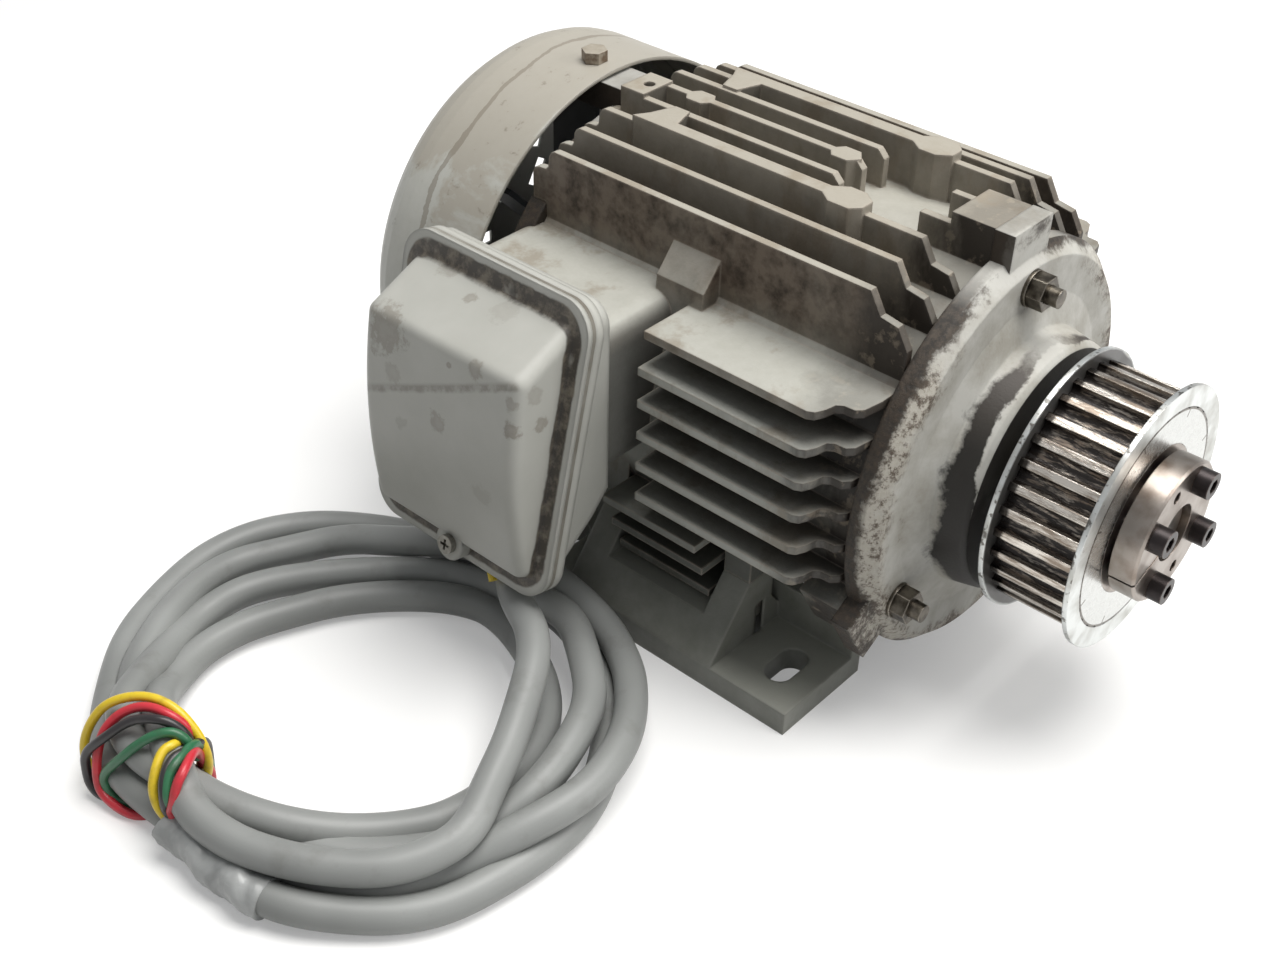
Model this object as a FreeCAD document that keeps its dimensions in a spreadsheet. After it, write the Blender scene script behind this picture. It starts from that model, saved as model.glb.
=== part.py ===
"""Foot-mounted three-phase induction motor with a finned frame, a terminal box, a supply cable
and a toothed belt pulley clamped on its shaft. Millimetres, shaft along Y with the pulley at -Y,
terminal box on -X, +Z up, origin at the centre of the foot slots on the base plane."""

import FreeCAD, Part
import math
import os
import re

import Sketcher

Vector = FreeCAD.Vector

doc = FreeCAD.newDocument("InductionMotor")
sheet = doc.addObject("Spreadsheet::Sheet", "Sizes")

SIZES = {
    # Mounting, taken from the 80 mm frame size of this kind of motor
    "axis_height": 80.0,
    "slot_spacing_across": 125.0,
    "slot_spacing_along": 100.0,
    "slot_width": 10.0,
    "slot_length": 18.0,
    # Fits and clearances
    "fit_gap": 0.05,
    "seat_gap": 0.2,
    "bolt_clearance": 0.3,
    # Feet
    "foot_half_width": 81.5,
    "foot_half_length": 64.0,
    "foot_inner_edge": 40.0,
    "foot_thickness": 9.0,
    "foot_rib": 5.0,
    "foot_rib_height": 24.0,
    "leg_half_length": 32.5,
    "leg_rib_inner": 21.5,
    "leg_outer_top": 62.5,
    "leg_inner_top": 49.6,
    "leg_top_height": 34.0,
    "leg_web_height": 21.0,
    "leg_core_height": 13.0,
    "leg_core_wall": 6.0,
    "foot_screw_inset": 56.0,
    "foot_screw_along": 27.0,
    "foot_screw_radius": 3.0,
    "foot_screw_seat": 22.0,
    "foot_screw_length": 22.0,
    # Finned frame
    "barrel_radius": 67.0,
    "barrel_half_length": 72.0,
    "stator_bore_radius": 55.0,
    "fin_thickness": 2.8,
    "fin_pitch": 12.0,
    "top_fin_height": 79.5,
    "top_crown_radius": 121.0,
    "top_fin_fan_end": 71.0,
    "top_fin_drive_end": 71.5,
    "top_fin_full_end": 57.0,
    "short_fin_end": 18.5,
    "fin_tab_length": 7.0,
    "fin_tab_drop": 7.5,
    "fin_step": 7.0,
    "fin_sink": 4.0,
    "rail_width": 5.2,
    "rail_fan_end": 55.0,
    "rail_fan_head": 15.0,
    "rail_drive_end": 36.5,
    "rail_drive_head": 15.0,
    "rail_head_width": 12.0,
    "pad_width": 8.0,
    "pad_length": 12.0,
    "pad_fan_centre": 48.5,
    "pad_drive_centre": -11.0,
    "side_fin_reach": 80.5,
    "top_side_fin_reach": 78.0,
    "side_fin_box_end": 3.0,
    "side_fin_full_end": 61.0,
    "side_fin_drive_end": 71.5,
    "side_fin_step": 9.5,
    "low_fin_half_length": 20.0,
    "low_fin_reach": 77.0,
    "low_fin_taper": 4.5,
    "lug_width": 20.0,
    "lug_height": 80.0,
    "frame_lug_length": 15.0,
    "lug_rib_length": 11.0,
    "lug_rib_drop": 4.0,
    "block_width": 15.0,
    "block_offset": -6.0,
    "block_length": 10.0,
    "block_height": 80.5,
    "block_hole_radius": 2.0,
    "boss_reach": 58.0,
    "boss_centre": 7.0,
    "boss_half_width": 9.5,
    "boss_top": 58.0,
    "boss_ridge": 49.0,
    "boss_foot": 37.0,
    # Tie bolts that clamp the two end shields on the frame
    "tie_circle_radius": 60.0,
    "tie_bolt_radius": 3.0,
    "tie_count": 3,
    "tie_first_angle": 90.0,
    "tie_nut_flats": 10.0,
    "tie_nut_height": 5.0,
    "tie_washer_radius": 6.0,
    "tie_washer_thickness": 1.2,
    "tie_head_height": 4.0,
    "tie_end_overhang": 4.0,
    # End shields
    "spigot_depth": 5.0,
    "spigot_wall": 5.0,
    "shield_radius": 70.5,
    "shield_rim": 7.0,
    "shield_face_depth": 9.5,
    "shield_wall": 7.0,
    "drive_hub_radius": 42.5,
    "drive_hub_depth": 24.0,
    "fan_hub_radius": 27.0,
    "fan_hub_depth": 18.0,
    "ear_reach": 79.0,
    "ear_width": 21.0,
    "cowl_lug_length": 28.0,
    # Ball bearings
    "bearing_gap": 0.3,
    "drive_bearing_bore": 10.0,
    "drive_bearing_radius": 23.5,
    "drive_bearing_width": 14.0,
    "drive_bearing_place": -81.0,
    "fan_bearing_bore": 8.5,
    "fan_bearing_radius": 20.0,
    "fan_bearing_width": 12.0,
    "fan_bearing_place": 80.0,
    "ball_count": 8,
    "washer_thickness": 1.6,
    "seal_radius": 17.5,
    "seal_width": 4.5,
    "seal_recess": 1.0,
    # Stator and rotor
    "core_half_length": 40.0,
    "air_gap": 0.4,
    "rotor_radius": 32.6,
    "rotor_bore_radius": 14.0,
    "stator_slot_count": 24,
    "stator_slot_width": 5.0,
    "stator_slot_floor": 46.0,
    "winding_overhang": 18.0,
    "winding_outer": 52.0,
    "winding_inner": 36.5,
    "coil_side_inset": 1.0,
    "rotor_slot_count": 20,
    "rotor_slot_width": 4.0,
    "rotor_slot_floor": 24.0,
    "end_ring_length": 7.0,
    # Shaft
    "shaft_radius": 9.5,
    "shaft_end": 140.0,
    "shaft_shoulder": 100.0,
    "shaft_collar_radius": 12.0,
    "fan_seat_radius": 7.5,
    "fan_seat_start": 90.0,
    "shaft_fan_end": 119.0,
    "keyway_width": 6.0,
    "keyway_depth": 3.5,
    "keyway_length": 28.0,
    # Cooling fan and cowl
    "fan_radius": 62.0,
    "fan_hub_outer": 13.5,
    "fan_place": 95.0,
    "fan_length": 21.0,
    "fan_plate": 2.0,
    "fan_plate_radius": 42.0,
    "fan_blade_count": 8,
    "fan_blade_thickness": 2.0,
    "clip_radius": 11.0,
    "clip_thickness": 1.2,
    "clip_groove": 0.6,
    "cowl_radius": 79.6,
    "cowl_sheet": 1.2,
    "cowl_front": 83.6,
    "cowl_back": 137.0,
    "cowl_round": 18.0,
    "grille_ring_count": 3,
    "grille_first_radius": 15.0,
    "grille_slot_length": 11.0,
    "grille_slot_gap": 4.0,
    "grille_slot_width": 5.0,
    "grille_slot_count": 14,
    "cowl_screw_angle": 92.0,
    "cowl_screw_place": 94.0,
    "cowl_screw_radius": 2.5,
    "cowl_screw_flats": 8.0,
    "cowl_screw_head": 4.0,
    "cowl_screw_length": 10.0,
    # Terminal box, drawn in the plane of its slanted rim
    "box_drive_side": 4.0,
    "box_fan_side": 84.0,
    "rim_bottom_out": 120.1,
    "rim_bottom_height": 39.4,
    "rim_tilt": 12.87,
    "rim_length": 102.0,
    "box_seat_out": 89.0,
    "base_wall": 3.0,
    "base_inset": 3.0,
    "base_rim": 3.5,
    "base_round": 8.0,
    "base_top_depth": 8.0,
    "base_floor_rise": 25.7,
    "base_floor_depth": 18.7,
    "base_corner": 11.0,
    "pedestal_inset": 5.0,
    "pedestal_top": 44.0,
    "lead_hole_radius": 11.0,
    "lead_hole_along": 49.0,
    "lead_hole_height": 16.0,
    "lid_lip": 6.0,
    "lid_bottom_rise": 8.5,
    "lid_bottom_depth": 7.5,
    "lid_top_rise": 79.5,
    "lid_top_depth": 22.0,
    "lid_wall": 4.0,
    "lid_front_radius": 195.0,
    "lid_flange": 2.0,
    "lid_round": 4.0,
    "lid_gasket": 1.5,
    "lid_ear_radius": 6.0,
    "lid_ear_along": 42.0,
    "lid_ear_rise": 6.7,
    "lid_ear_depth": 8.0,
    "lid_tongue_width": 28.0,
    "lid_tongue_depth": 2.6,
    "lid_screw_radius": 2.0,
    "lid_screw_head": 3.2,
    "lid_screw_length": 11.0,
    "seat_gasket": 1.0,
    "base_screw_radius": 2.5,
    "base_screw_head": 4.5,
    "base_screw_length": 8.0,
    "base_screw_spacing": 44.0,
    "base_screw_height": 34.0,
    "block_base_length": 40.0,
    "block_base_width": 11.0,
    "block_base_height": 8.0,
    "block_base_rise": -1.5,
    "stud_radius": 2.0,
    "stud_height": 7.0,
    "stud_nut_flats": 7.0,
    "stud_nut_height": 3.2,
    "stud_spacing": 13.0,
    "lead_radius": 1.5,
    "earth_screw_radius": 2.0,
    "earth_screw_head": 4.0,
    # Belt pulley with its pressed flanges
    "tooth_count": 32,
    "pulley_radius": 40.05,
    "groove_radius": 2.7,
    "groove_depth": 3.45,
    "tooth_turn": 7.8,
    "pulley_rear": 102.0,
    "pulley_front": 132.5,
    "flange_radius": 44.0,
    "flange_thickness": 1.6,
    "flange_seat_radius": 37.0,
    "pulley_bore_radius": 25.0,
    # Clamping bush between pulley and shaft
    "bush_split_radius": 13.0,
    "bush_collar_radius": 23.5,
    "bush_face": 142.5,
    "bush_collar_back": 134.0,
    "bush_rear": 106.0,
    "bush_slit": 1.0,
    "bush_slit_angle": 200.0,
    "bush_screw_circle": 17.5,
    "bush_screw_count": 4,
    "bush_screw_angle": 65.0,
    "bush_screw_radius": 2.5,
    "bush_screw_head": 4.4,
    "bush_screw_head_length": 5.0,
    "bush_screw_length": 22.0,
    "bush_socket_radius": 2.2,
    "bush_socket_depth": 3.5,
    "jack_hole_radius": 2.0,
    "jack_hole_turn": 45.0,
    # Supply cable
    "cable_radius": 5.5,
    "grommet_radius": 7.0,
    "grommet_inset": 13.0,
    "grommet_along": 35.0,
    "grommet_low": 45.5,
    "grommet_high": 58.0,
    "coil_centre_out": 167.0,
    "coil_centre_along": 50.0,
    "coil_half_width": 68.5,
    "coil_half_length": 94.0,
    "coil_hole_half_width": 48.0,
    "coil_hole_half_length": 50.0,
    "coil_box_corner": 46.0,
    "coil_back_corner": 66.0,
    "coil_front_corner": 54.0,
    "coil_hole_corner": 36.0,
    "coil_height": 20.0,
    "coil_lift": 0.3,
    "waist_out": 231.5,
    "waist_along": 63.0,
    "waist_height": 16.4,
    "waist_half_width": 12.4,
    "waist_half_height": 11.8,
    "waist_length": 26.0,
    "wire_diameter": 3.2,
    "tape_radius": 6.6,
}

for row, (alias, value) in enumerate(SIZES.items(), start=1):
    sheet.set(f"A{row}", alias.replace("_", " "))
    sheet.set(f"B{row}", str(value))
    sheet.setAlias(f"B{row}", alias)
doc.recompute()


def cells(formula):
    """A formula in size names, with each name pointed at its spreadsheet cell."""
    return re.sub(r"[a-z]\w*", lambda m: "Sizes." + m[0] if m[0] in SIZES else m[0], str(formula))


def size(formula):
    """The number that a formula of size names gives."""
    value = sheet.evalExpression(str(formula))
    return float(getattr(value, "Value", value))


def bind(item, prop, formula):
    """Ties a property of an object to a formula of size names."""
    item.setExpression(prop, cells(formula))


def new_body(label, height=None):
    """An empty body. A height formula lifts it, as for pieces drawn about the shaft axis."""
    body = doc.addObject("PartDesign::Body", label)
    body.Label = label
    body.AllowCompound = True
    if height:
        bind(body, "Placement.Base.z", height)
    return body


def on_axis(label):
    """An empty body whose own Y axis is the shaft axis."""
    return new_body(label, "axis_height")


def origin_part(body, role):
    return next(item for item in body.Origin.OriginFeatures if item.Role == role)


def new_sketch(body, plane, offset=None):
    """A sketch on one of the body's origin planes, moved off it along the plane's normal."""
    sketch = body.newObject("Sketcher::SketchObject", body.Label + "_sketch")
    sketch.AttachmentSupport = [(origin_part(body, plane + "_Plane"), "")]
    sketch.MapMode = "FlatFace"
    if offset is not None:
        bind(sketch, "AttachmentOffset.Base.z", offset)
    return sketch


def pin_points(sketch, places):
    """Dimensions points of a sketch from its origin. Each place is (geometry, point, across, up)."""
    formulas = []
    constraints = []
    for geometry, point, across, up in places:
        for kind, formula in (("DistanceX", across), ("DistanceY", up)):
            constraints.append(Sketcher.Constraint(kind, -1, 1, geometry, point, size(formula)))
            formulas.append(formula)
    for index, formula in zip(sketch.addConstraint(constraints), formulas):
        bind(sketch, f"Constraints[{index}]", formula)


def outline(sketch, points):
    """A closed outline of straight edges through points given as formulas."""
    corners = [Vector(size(across), size(up), 0) for across, up in points]
    count = len(corners)
    edges = [Part.LineSegment(corners[i], corners[(i + 1) % count]) for i in range(count)]
    first = sketch.addGeometry(edges)[0]
    joints = [
        Sketcher.Constraint("Coincident", first + i, 2, first + (i + 1) % count, 1) for i in range(count)
    ]
    sketch.addConstraint(joints)
    pin_points(sketch, [(first + i, 1, across, up) for i, (across, up) in enumerate(points)])
    return sketch


def rectangle(sketch, left, right, low, high):
    return outline(sketch, [(left, low), (right, low), (right, high), (left, high)])


def rounded_rectangle(sketch, left, right, low, high, *radii):
    """A rectangle with round corners, its edges given as formulas. Either one radius for all the
    corners or four, counted from the right upper corner against the clock."""
    first_bend, second_bend, third_bend, fourth_bend = radii * 4 if len(radii) == 1 else radii
    bends = [first_bend, second_bend, third_bend, fourth_bend]
    centres = [
        (f"({right}) - ({first_bend})", f"({high}) - ({first_bend})"),
        (f"({left}) + ({second_bend})", f"({high}) - ({second_bend})"),
        (f"({left}) + ({third_bend})", f"({low}) + ({third_bend})"),
        (f"({right}) - ({fourth_bend})", f"({low}) + ({fourth_bend})"),
    ]
    runs = [
        ((centres[0][0], high), (centres[1][0], high)),
        ((left, centres[1][1]), (left, centres[2][1])),
        ((centres[2][0], low), (centres[3][0], low)),
        ((right, centres[3][1]), (right, centres[0][1])),
    ]
    geometry = []
    for quarter, ((across, up), ends) in enumerate(zip(centres, runs)):
        ring = Part.Circle(Vector(size(across), size(up), 0), Vector(0, 0, 1), size(bends[quarter]))
        geometry.append(Part.ArcOfCircle(ring, quarter * math.pi / 2, (quarter + 1) * math.pi / 2))
        start, finish = [Vector(size(x), size(y), 0) for x, y in ends]
        geometry.append(Part.LineSegment(start, finish))
    first = sketch.addGeometry(geometry)[0]
    joints = []
    places = []
    for quarter, (start, finish) in enumerate(runs):
        arc = first + 2 * quarter
        following = first + 2 * ((quarter + 1) % 4)
        joints.append(Sketcher.Constraint("Coincident", arc, 2, arc + 1, 1))
        joints.append(Sketcher.Constraint("Coincident", arc + 1, 2, following, 1))
        places.append((arc + 1, 1, *start))
        places.append((arc + 1, 2, *finish))
    sketch.addConstraint(joints)
    pin_points(sketch, places)
    for quarter, bend in enumerate(bends):
        index = sketch.addConstraint(Sketcher.Constraint("Radius", first + 2 * quarter, size(bend)))
        bind(sketch, f"Constraints[{index}]", bend)
    return sketch


def circle(sketch, radius, across="0", up="0"):
    centre = Vector(size(across), size(up), 0)
    ring = sketch.addGeometry(Part.Circle(centre, Vector(0, 0, 1), size(radius)))
    index = sketch.addConstraint(Sketcher.Constraint("Radius", ring, size(radius)))
    bind(sketch, f"Constraints[{index}]", radius)
    pin_points(sketch, [(ring, 3, across, up)])
    return sketch


def hexagon(sketch, flats, across="0", up="0", turn=0.0):
    """A regular hexagon given by its width across flats."""
    corner = f"({flats}) / 2 / cos(30)"
    points = []
    for step in range(6):
        angle = turn + 60 * step
        points.append((f"{across} + {corner} * cos({angle})", f"{up} + {corner} * sin({angle})"))
    return outline(sketch, points)


def tilt_sketch(sketch, axis, angle, base):
    """Turns and shifts an attached sketch. The base is three formulas in the plane's own axes."""
    sketch.AttachmentOffset = FreeCAD.Placement(Vector(), FreeCAD.Rotation(axis, size(angle)))
    bind(sketch, "AttachmentOffset.Rotation.Angle", angle)
    for letter, formula in zip("xyz", base):
        bind(sketch, "AttachmentOffset.Base." + letter, formula)
    return sketch


def radial_sketch(body, angle, offset="0"):
    """A sketch that faces outward from the shaft axis, its first axis across and its second along Y."""
    turn = f"(90 - ({angle}))"
    base = (f"({offset}) * sin({turn})", "0", f"({offset}) * cos({turn})")
    return tilt_sketch(new_sketch(body, "XY"), Vector(0, 1, 0), turn, base)


def rim_sketch(body, depth):
    """A sketch in the slanted rim plane of the terminal box, moved inward by a depth."""
    base = (
        "0", f"rim_bottom_height - ({depth}) * sin(rim_tilt)",
        f"-rim_bottom_out + ({depth}) * cos(rim_tilt)",
    )
    return tilt_sketch(new_sketch(body, "YZ"), Vector(1, 0, 0), "rim_tilt", base)


def on_rim(depth, rise):
    """X and Z of a point given by its depth behind the rim plane and its rise along the rim."""
    across = f"-rim_bottom_out + ({rise}) * sin(rim_tilt) + ({depth}) * cos(rim_tilt)"
    up = f"rim_bottom_height + ({rise}) * cos(rim_tilt) - ({depth}) * sin(rim_tilt)"
    return across, up


def feature(body, kind, sketch):
    item = body.newObject("PartDesign::" + kind, body.Label + "_" + kind.lower())
    item.Profile = sketch
    body.Tip = item
    return item


def pad(body, sketch, length, both=False, back=False):
    """Material along the sketch's normal, on both sides of it or against it where asked."""
    item = feature(body, "Pad", sketch)
    bind(item, "Length", length)
    item.SideType = "Symmetric" if both else "One side"
    item.Reversed = back
    return item


def cut(body, sketch, length=None, both=False, back=False):
    """A pocket along the sketch's normal, right through both ways where no length is given."""
    item = feature(body, "Pocket", sketch)
    item.SideType = "Symmetric" if both or length is None else "One side"
    if length is None:
        item.Type = "ThroughAll"
    else:
        bind(item, "Length", length)
    item.Reversed = back
    return item


def turned(body, points):
    """A solid of revolution about the body's Y axis from points (place along Y, radius)."""
    item = feature(body, "Revolution", outline(new_sketch(body, "YZ"), points))
    item.ReferenceAxis = (origin_part(body, "Y_Axis"), [""])
    return item


def around(body, features, count, axis="Y"):
    """Repeats features evenly about one of the body's axes."""
    item = body.newObject("PartDesign::PolarPattern", body.Label + "_pattern")
    item.Originals = features
    item.Axis = (origin_part(body, axis + "_Axis"), [""])
    item.Angle = 360
    bind(item, "Occurrences", count)
    body.Tip = item
    return item


def rounded(body, radius, wanted):
    """Rounds the edges of the body's last feature that a test picks out."""
    doc.recompute()
    tip = body.Tip
    names = [f"Edge{i}" for i, edge in enumerate(tip.Shape.Edges, start=1) if wanted(edge)]
    item = body.newObject("PartDesign::Fillet", body.Label + "_round")
    item.Base = (tip, names)
    bind(item, "Radius", radius)
    body.Tip = item
    return item


# Polar places of the tie bolts, as formulas across X and up Z from the shaft axis
def tie_place(index, radius="tie_circle_radius"):
    angle = f"(tie_first_angle + {index} * 360 / tie_count)"
    return f"({radius}) * cos({angle})", f"({radius}) * sin({angle})"


TIE_INDEXES = range(SIZES["tie_count"])


def radial_strip(angle, inner, outer, width):
    """The corners of a strip along a radius, in the plane across the shaft."""
    points = []
    for radius, side in ((inner, -1), (outer, -1), (outer, 1), (inner, 1)):
        across = f"({radius}) * cos({angle}) - {side} * ({width}) / 2 * sin({angle})"
        up = f"({radius}) * sin({angle}) + {side} * ({width}) / 2 * cos({angle})"
        points.append((across, up))
    return points


def plate_along_radius(body, index, inner, outer, width, front, back):
    """A radial block at one tie bolt, drawn on XZ and running from one place on Y to another."""
    angle = f"(tie_first_angle + {index} * 360 / tie_count)"
    sketch = outline(new_sketch(body, "XZ", f"-({front})"), radial_strip(angle, inner, outer, width))
    return pad(body, sketch, f"({back}) - ({front})", back=True)


COWL_ANGLES = [f"(cowl_screw_angle + {index} * 120)" for index in range(3)]


def cowl_lug_outline(body, gap="0"):
    """The three lugs that carry the cowl, seen along the shaft, with room around them."""
    sketch = new_sketch(body, "XZ", "-barrel_half_length")
    reach = f"cowl_radius - cowl_sheet - seat_gap - 1 + {gap}"
    for angle in COWL_ANGLES:
        outline(sketch, radial_strip(angle, "barrel_radius", reach, f"block_width + 2 * {gap}"))
    return sketch


def tie_holes(body):
    """Clearance holes for the tie bolts, right through."""
    sketch = new_sketch(body, "XZ")
    for index in TIE_INDEXES:
        circle(sketch, "tie_bolt_radius + bolt_clearance", *tie_place(index))
    return cut(body, sketch)


# Finned frame: die-cast barrel, fins on top and both sides, seats for box and feet
frame = on_axis("stator_frame")
pad(frame, circle(new_sketch(frame, "XZ"), "barrel_radius"), "2 * barrel_half_length", both=True)


def top_fin(place, drive_end, stepped):
    """One upright fin across X. Its tip follows a flat crown, its root sinks into the barrel."""
    tip = f"(top_fin_height - {place}^2 / 2 / top_crown_radius)"
    root = f"(sqrt(barrel_radius^2 - {place}^2) - fin_sink)"
    points = [
        ("top_fin_fan_end + fin_tab_length", f"{tip} - 2.6 * fin_tab_drop"),
        ("top_fin_fan_end + fin_tab_length", f"{tip} - 1.35 * fin_tab_drop"),
        ("top_fin_fan_end + 0.88 * fin_tab_length", f"{tip} - 1.1 * fin_tab_drop"),
        ("top_fin_fan_end + 0.62 * fin_tab_length", f"{tip} - fin_tab_drop"),
        ("top_fin_fan_end + 0.14 * fin_tab_length", f"{tip} - 0.96 * fin_tab_drop"),
        ("top_fin_fan_end", f"{tip} - 0.8 * fin_tab_drop"),
        ("top_fin_fan_end - 0.14 * fin_thickness", f"{tip} - 0.3 * fin_tab_drop"),
        ("top_fin_fan_end - 0.45 * fin_thickness", f"{tip} - 0.1 * fin_tab_drop"),
        ("top_fin_fan_end - fin_thickness", tip),
    ]
    if stepped:
        points += [
            (f"-({drive_end})", tip),
            (f"-({drive_end}) - 0.6 * fin_step", f"{tip} - fin_step"),
            (f"-({drive_end}) - 1.5 * fin_step", f"{tip} - 1.15 * fin_step"),
            ("-top_fin_drive_end", f"{tip} - 2.1 * fin_step"),
            ("-top_fin_drive_end", root),
        ]
    else:
        points += [
            (f"-({drive_end}) + fin_thickness", tip),
            (f"-({drive_end})", f"{tip} - fin_thickness"),
            (f"-({drive_end})", root),
        ]
    points += [("barrel_half_length", root), ("barrel_half_length", f"{tip} - 2.6 * fin_tab_drop")]
    sketch = outline(new_sketch(frame, "YZ", place), points)
    return pad(frame, sketch, "fin_thickness", both=True)


for step in (-4, -3, -2, 2, 3, 4):
    top_fin(f"({step} * fin_pitch)", "top_fin_full_end", True)
for step in (-1, 0, 1):
    top_fin(f"({step} * fin_pitch)", "short_fin_end", False)


def crown_block(points, top, floor="barrel_radius - 3 * fin_sink"):
    """An upright block on the barrel, drawn in plan."""
    sketch = outline(new_sketch(frame, "XY", floor), points)
    return pad(frame, sketch, f"{top} - ({floor})")


# Thick rails between the thin fins, each bridged to its inner neighbour and ending in a head
RAIL = "2 * fin_pitch"
rail_top = f"top_fin_height - ({RAIL})^2 / 2 / top_crown_radius + fin_thickness"
for side in (-1, 1):
    rail = f"{side} * ({RAIL})"
    crown_block(
        [
            (f"{rail} + {side} * rail_width / 2", "rail_fan_end"),
            (f"{rail} + {side} * rail_width / 2", "-rail_drive_end + rail_drive_head"),
            (f"{rail} + {side} * rail_head_width / 2", "-rail_drive_end + 0.7 * rail_drive_head"),
            (f"{rail} + {side} * rail_head_width / 2", "-rail_drive_end + 0.2 * rail_drive_head"),
            (f"{rail} + {side} * rail_width / 2", "-rail_drive_end"),
            (f"{rail} - {side} * rail_width / 2", "-rail_drive_end"),
            (f"{rail} - {side} * rail_head_width / 2", "-rail_drive_end + 0.3 * rail_drive_head"),
            (f"{rail} - {side} * rail_head_width / 2", "-rail_drive_end + 0.7 * rail_drive_head"),
            (f"{rail} - {side} * rail_width / 2", "-rail_drive_end + rail_drive_head"),
            (f"{rail} - {side} * rail_width / 2", "rail_fan_end - rail_fan_head"),
            (f"{side} * fin_pitch", "rail_fan_end - 0.8 * rail_fan_head"),
            (f"{side} * fin_pitch", "rail_fan_end - 0.4 * rail_fan_head"),
            (f"{rail} - {side} * rail_width / 2", "rail_fan_end - 0.2 * rail_fan_head"),
        ],
        rail_top,
    )

# Two cast pads on the middle fin
for centre in ("pad_fan_centre", "pad_drive_centre"):
    crown_block(
        [
            ("-pad_width / 2", f"{centre} - 0.25 * pad_length"),
            ("0", f"{centre} - 0.5 * pad_length"),
            ("pad_width / 2", f"{centre} - 0.25 * pad_length"),
            ("pad_width / 2", f"{centre} + 0.25 * pad_length"),
            ("0", f"{centre} + 0.5 * pad_length"),
            ("-pad_width / 2", f"{centre} + 0.25 * pad_length"),
        ],
        "top_fin_height",
    )

# Fan-end block in line with the cowl's top screw, with its small blind hole
block_left = "block_offset - block_width / 2"
block_right = "block_offset + block_width / 2"
block_sketch = new_sketch(frame, "XZ", "-barrel_half_length")
rectangle(block_sketch, block_left, block_right, "barrel_radius - 2 * fin_sink", "block_height")
pad(frame, block_sketch, "block_length")
hole_sketch = new_sketch(frame, "XY", "block_height")
hole_place = "barrel_half_length - block_length + 2 * block_hole_radius"
cut(frame, circle(hole_sketch, "block_hole_radius", "block_offset", hole_place), "block_length")

# Drive-end lugs at the tie bolts, the top one stiffened by two thin ribs
for index in TIE_INDEXES:
    reach = "lug_height" if index == 0 else "ear_reach - fin_sink"
    front = "-barrel_half_length"
    plate_along_radius(
        frame, index, "stator_bore_radius", reach, "lug_width", front, f"{front} + frame_lug_length"
    )
rib_start = "-barrel_half_length + frame_lug_length"
for side in (-1, 1):
    rib_place = f"{side} * (lug_width - fin_thickness) / 2"
    sketch = new_sketch(frame, "YZ", rib_place)
    rectangle(
        sketch, f"{rib_start} - 1", f"{rib_start} + lug_rib_length",
        "barrel_radius - 2 * fin_sink", "lug_height - lug_rib_drop",
    )
    pad(frame, sketch, "fin_thickness", both=True)


def side_fin(side, height, reach, fan_end):
    """One level fin on a side, with the two-step wave at its drive end."""
    root = f"{side} * (sqrt(barrel_radius^2 - ({height})^2) - fin_sink)"
    tip = f"{side} * ({reach})"
    points = [
        (root, fan_end),
        (tip, fan_end),
        (tip, "-side_fin_full_end + 0.25 * side_fin_step"),
        (f"{tip} - {side} * 0.12 * side_fin_step", "-side_fin_full_end + 0.03 * side_fin_step"),
        (f"{tip} - {side} * 0.45 * side_fin_step", "-side_fin_full_end - 0.12 * side_fin_step"),
        (f"{tip} - {side} * 0.85 * side_fin_step", "-side_fin_full_end - 0.2 * side_fin_step"),
        (f"{tip} - {side} * side_fin_step", "-side_fin_full_end - 0.4 * side_fin_step"),
        (f"{tip} - {side} * 1.03 * side_fin_step", "-side_fin_full_end - 0.78 * side_fin_step"),
        (f"{tip} - {side} * 1.25 * side_fin_step", "-side_fin_full_end - 0.98 * side_fin_step"),
        (f"{tip} - {side} * 2 * side_fin_step", "-side_fin_drive_end"),
        (root, "-side_fin_drive_end"),
    ]
    sketch = outline(new_sketch(frame, "XY", height), points)
    return pad(frame, sketch, "fin_thickness", both=True)


for level in (-1.5, -0.5, 0.5, 1.5, 2.5, 3.5):
    height = f"({level} * fin_pitch)"
    reach = "top_side_fin_reach" if level == 3.5 else "side_fin_reach"
    side_fin(-1, height, reach, "side_fin_box_end")
    side_fin(1, height, reach, "top_fin_fan_end")

# Short low fins that stand in the open middle of each foot's leg
for level in (1, 2, 3):
    height = f"(-({level} + 1.5) * fin_pitch)"
    reach = f"(low_fin_reach - {level - 1} * low_fin_taper)"
    sketch = new_sketch(frame, "XY", height)
    rectangle(sketch, f"-{reach}", reach, "-low_fin_half_length", "low_fin_half_length")
    pad(frame, sketch, "fin_thickness", both=True)

# Small cast boss on the outermost upright fin, above the level fins
boss_sketch = new_sketch(frame, "XZ", "-(boss_centre - boss_half_width)")
outline(
    boss_sketch,
    [
        ("-4 * fin_pitch + fin_thickness", "boss_foot"),
        ("-boss_reach", "boss_foot"),
        ("-boss_reach + 1", "boss_ridge"),
        ("-4 * fin_pitch - fin_thickness / 2", "boss_top"),
        ("-4 * fin_pitch + fin_thickness", "boss_top"),
    ],
)
pad(frame, boss_sketch, "2 * boss_half_width", back=True)

# Seat for the terminal box, a rounded block on the side
seat_sketch = new_sketch(frame, "YZ", "-(box_seat_out - seat_gasket)")
seat_low = "rim_bottom_height + base_floor_rise + pedestal_inset - axis_height"
seat_high = "pedestal_top"
rounded_rectangle(
    seat_sketch, "box_drive_side + pedestal_inset", "box_fan_side - pedestal_inset",
    seat_low, seat_high, "base_round",
)
pad(frame, seat_sketch, "box_seat_out - seat_gasket - stator_bore_radius + fin_sink")

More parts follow.
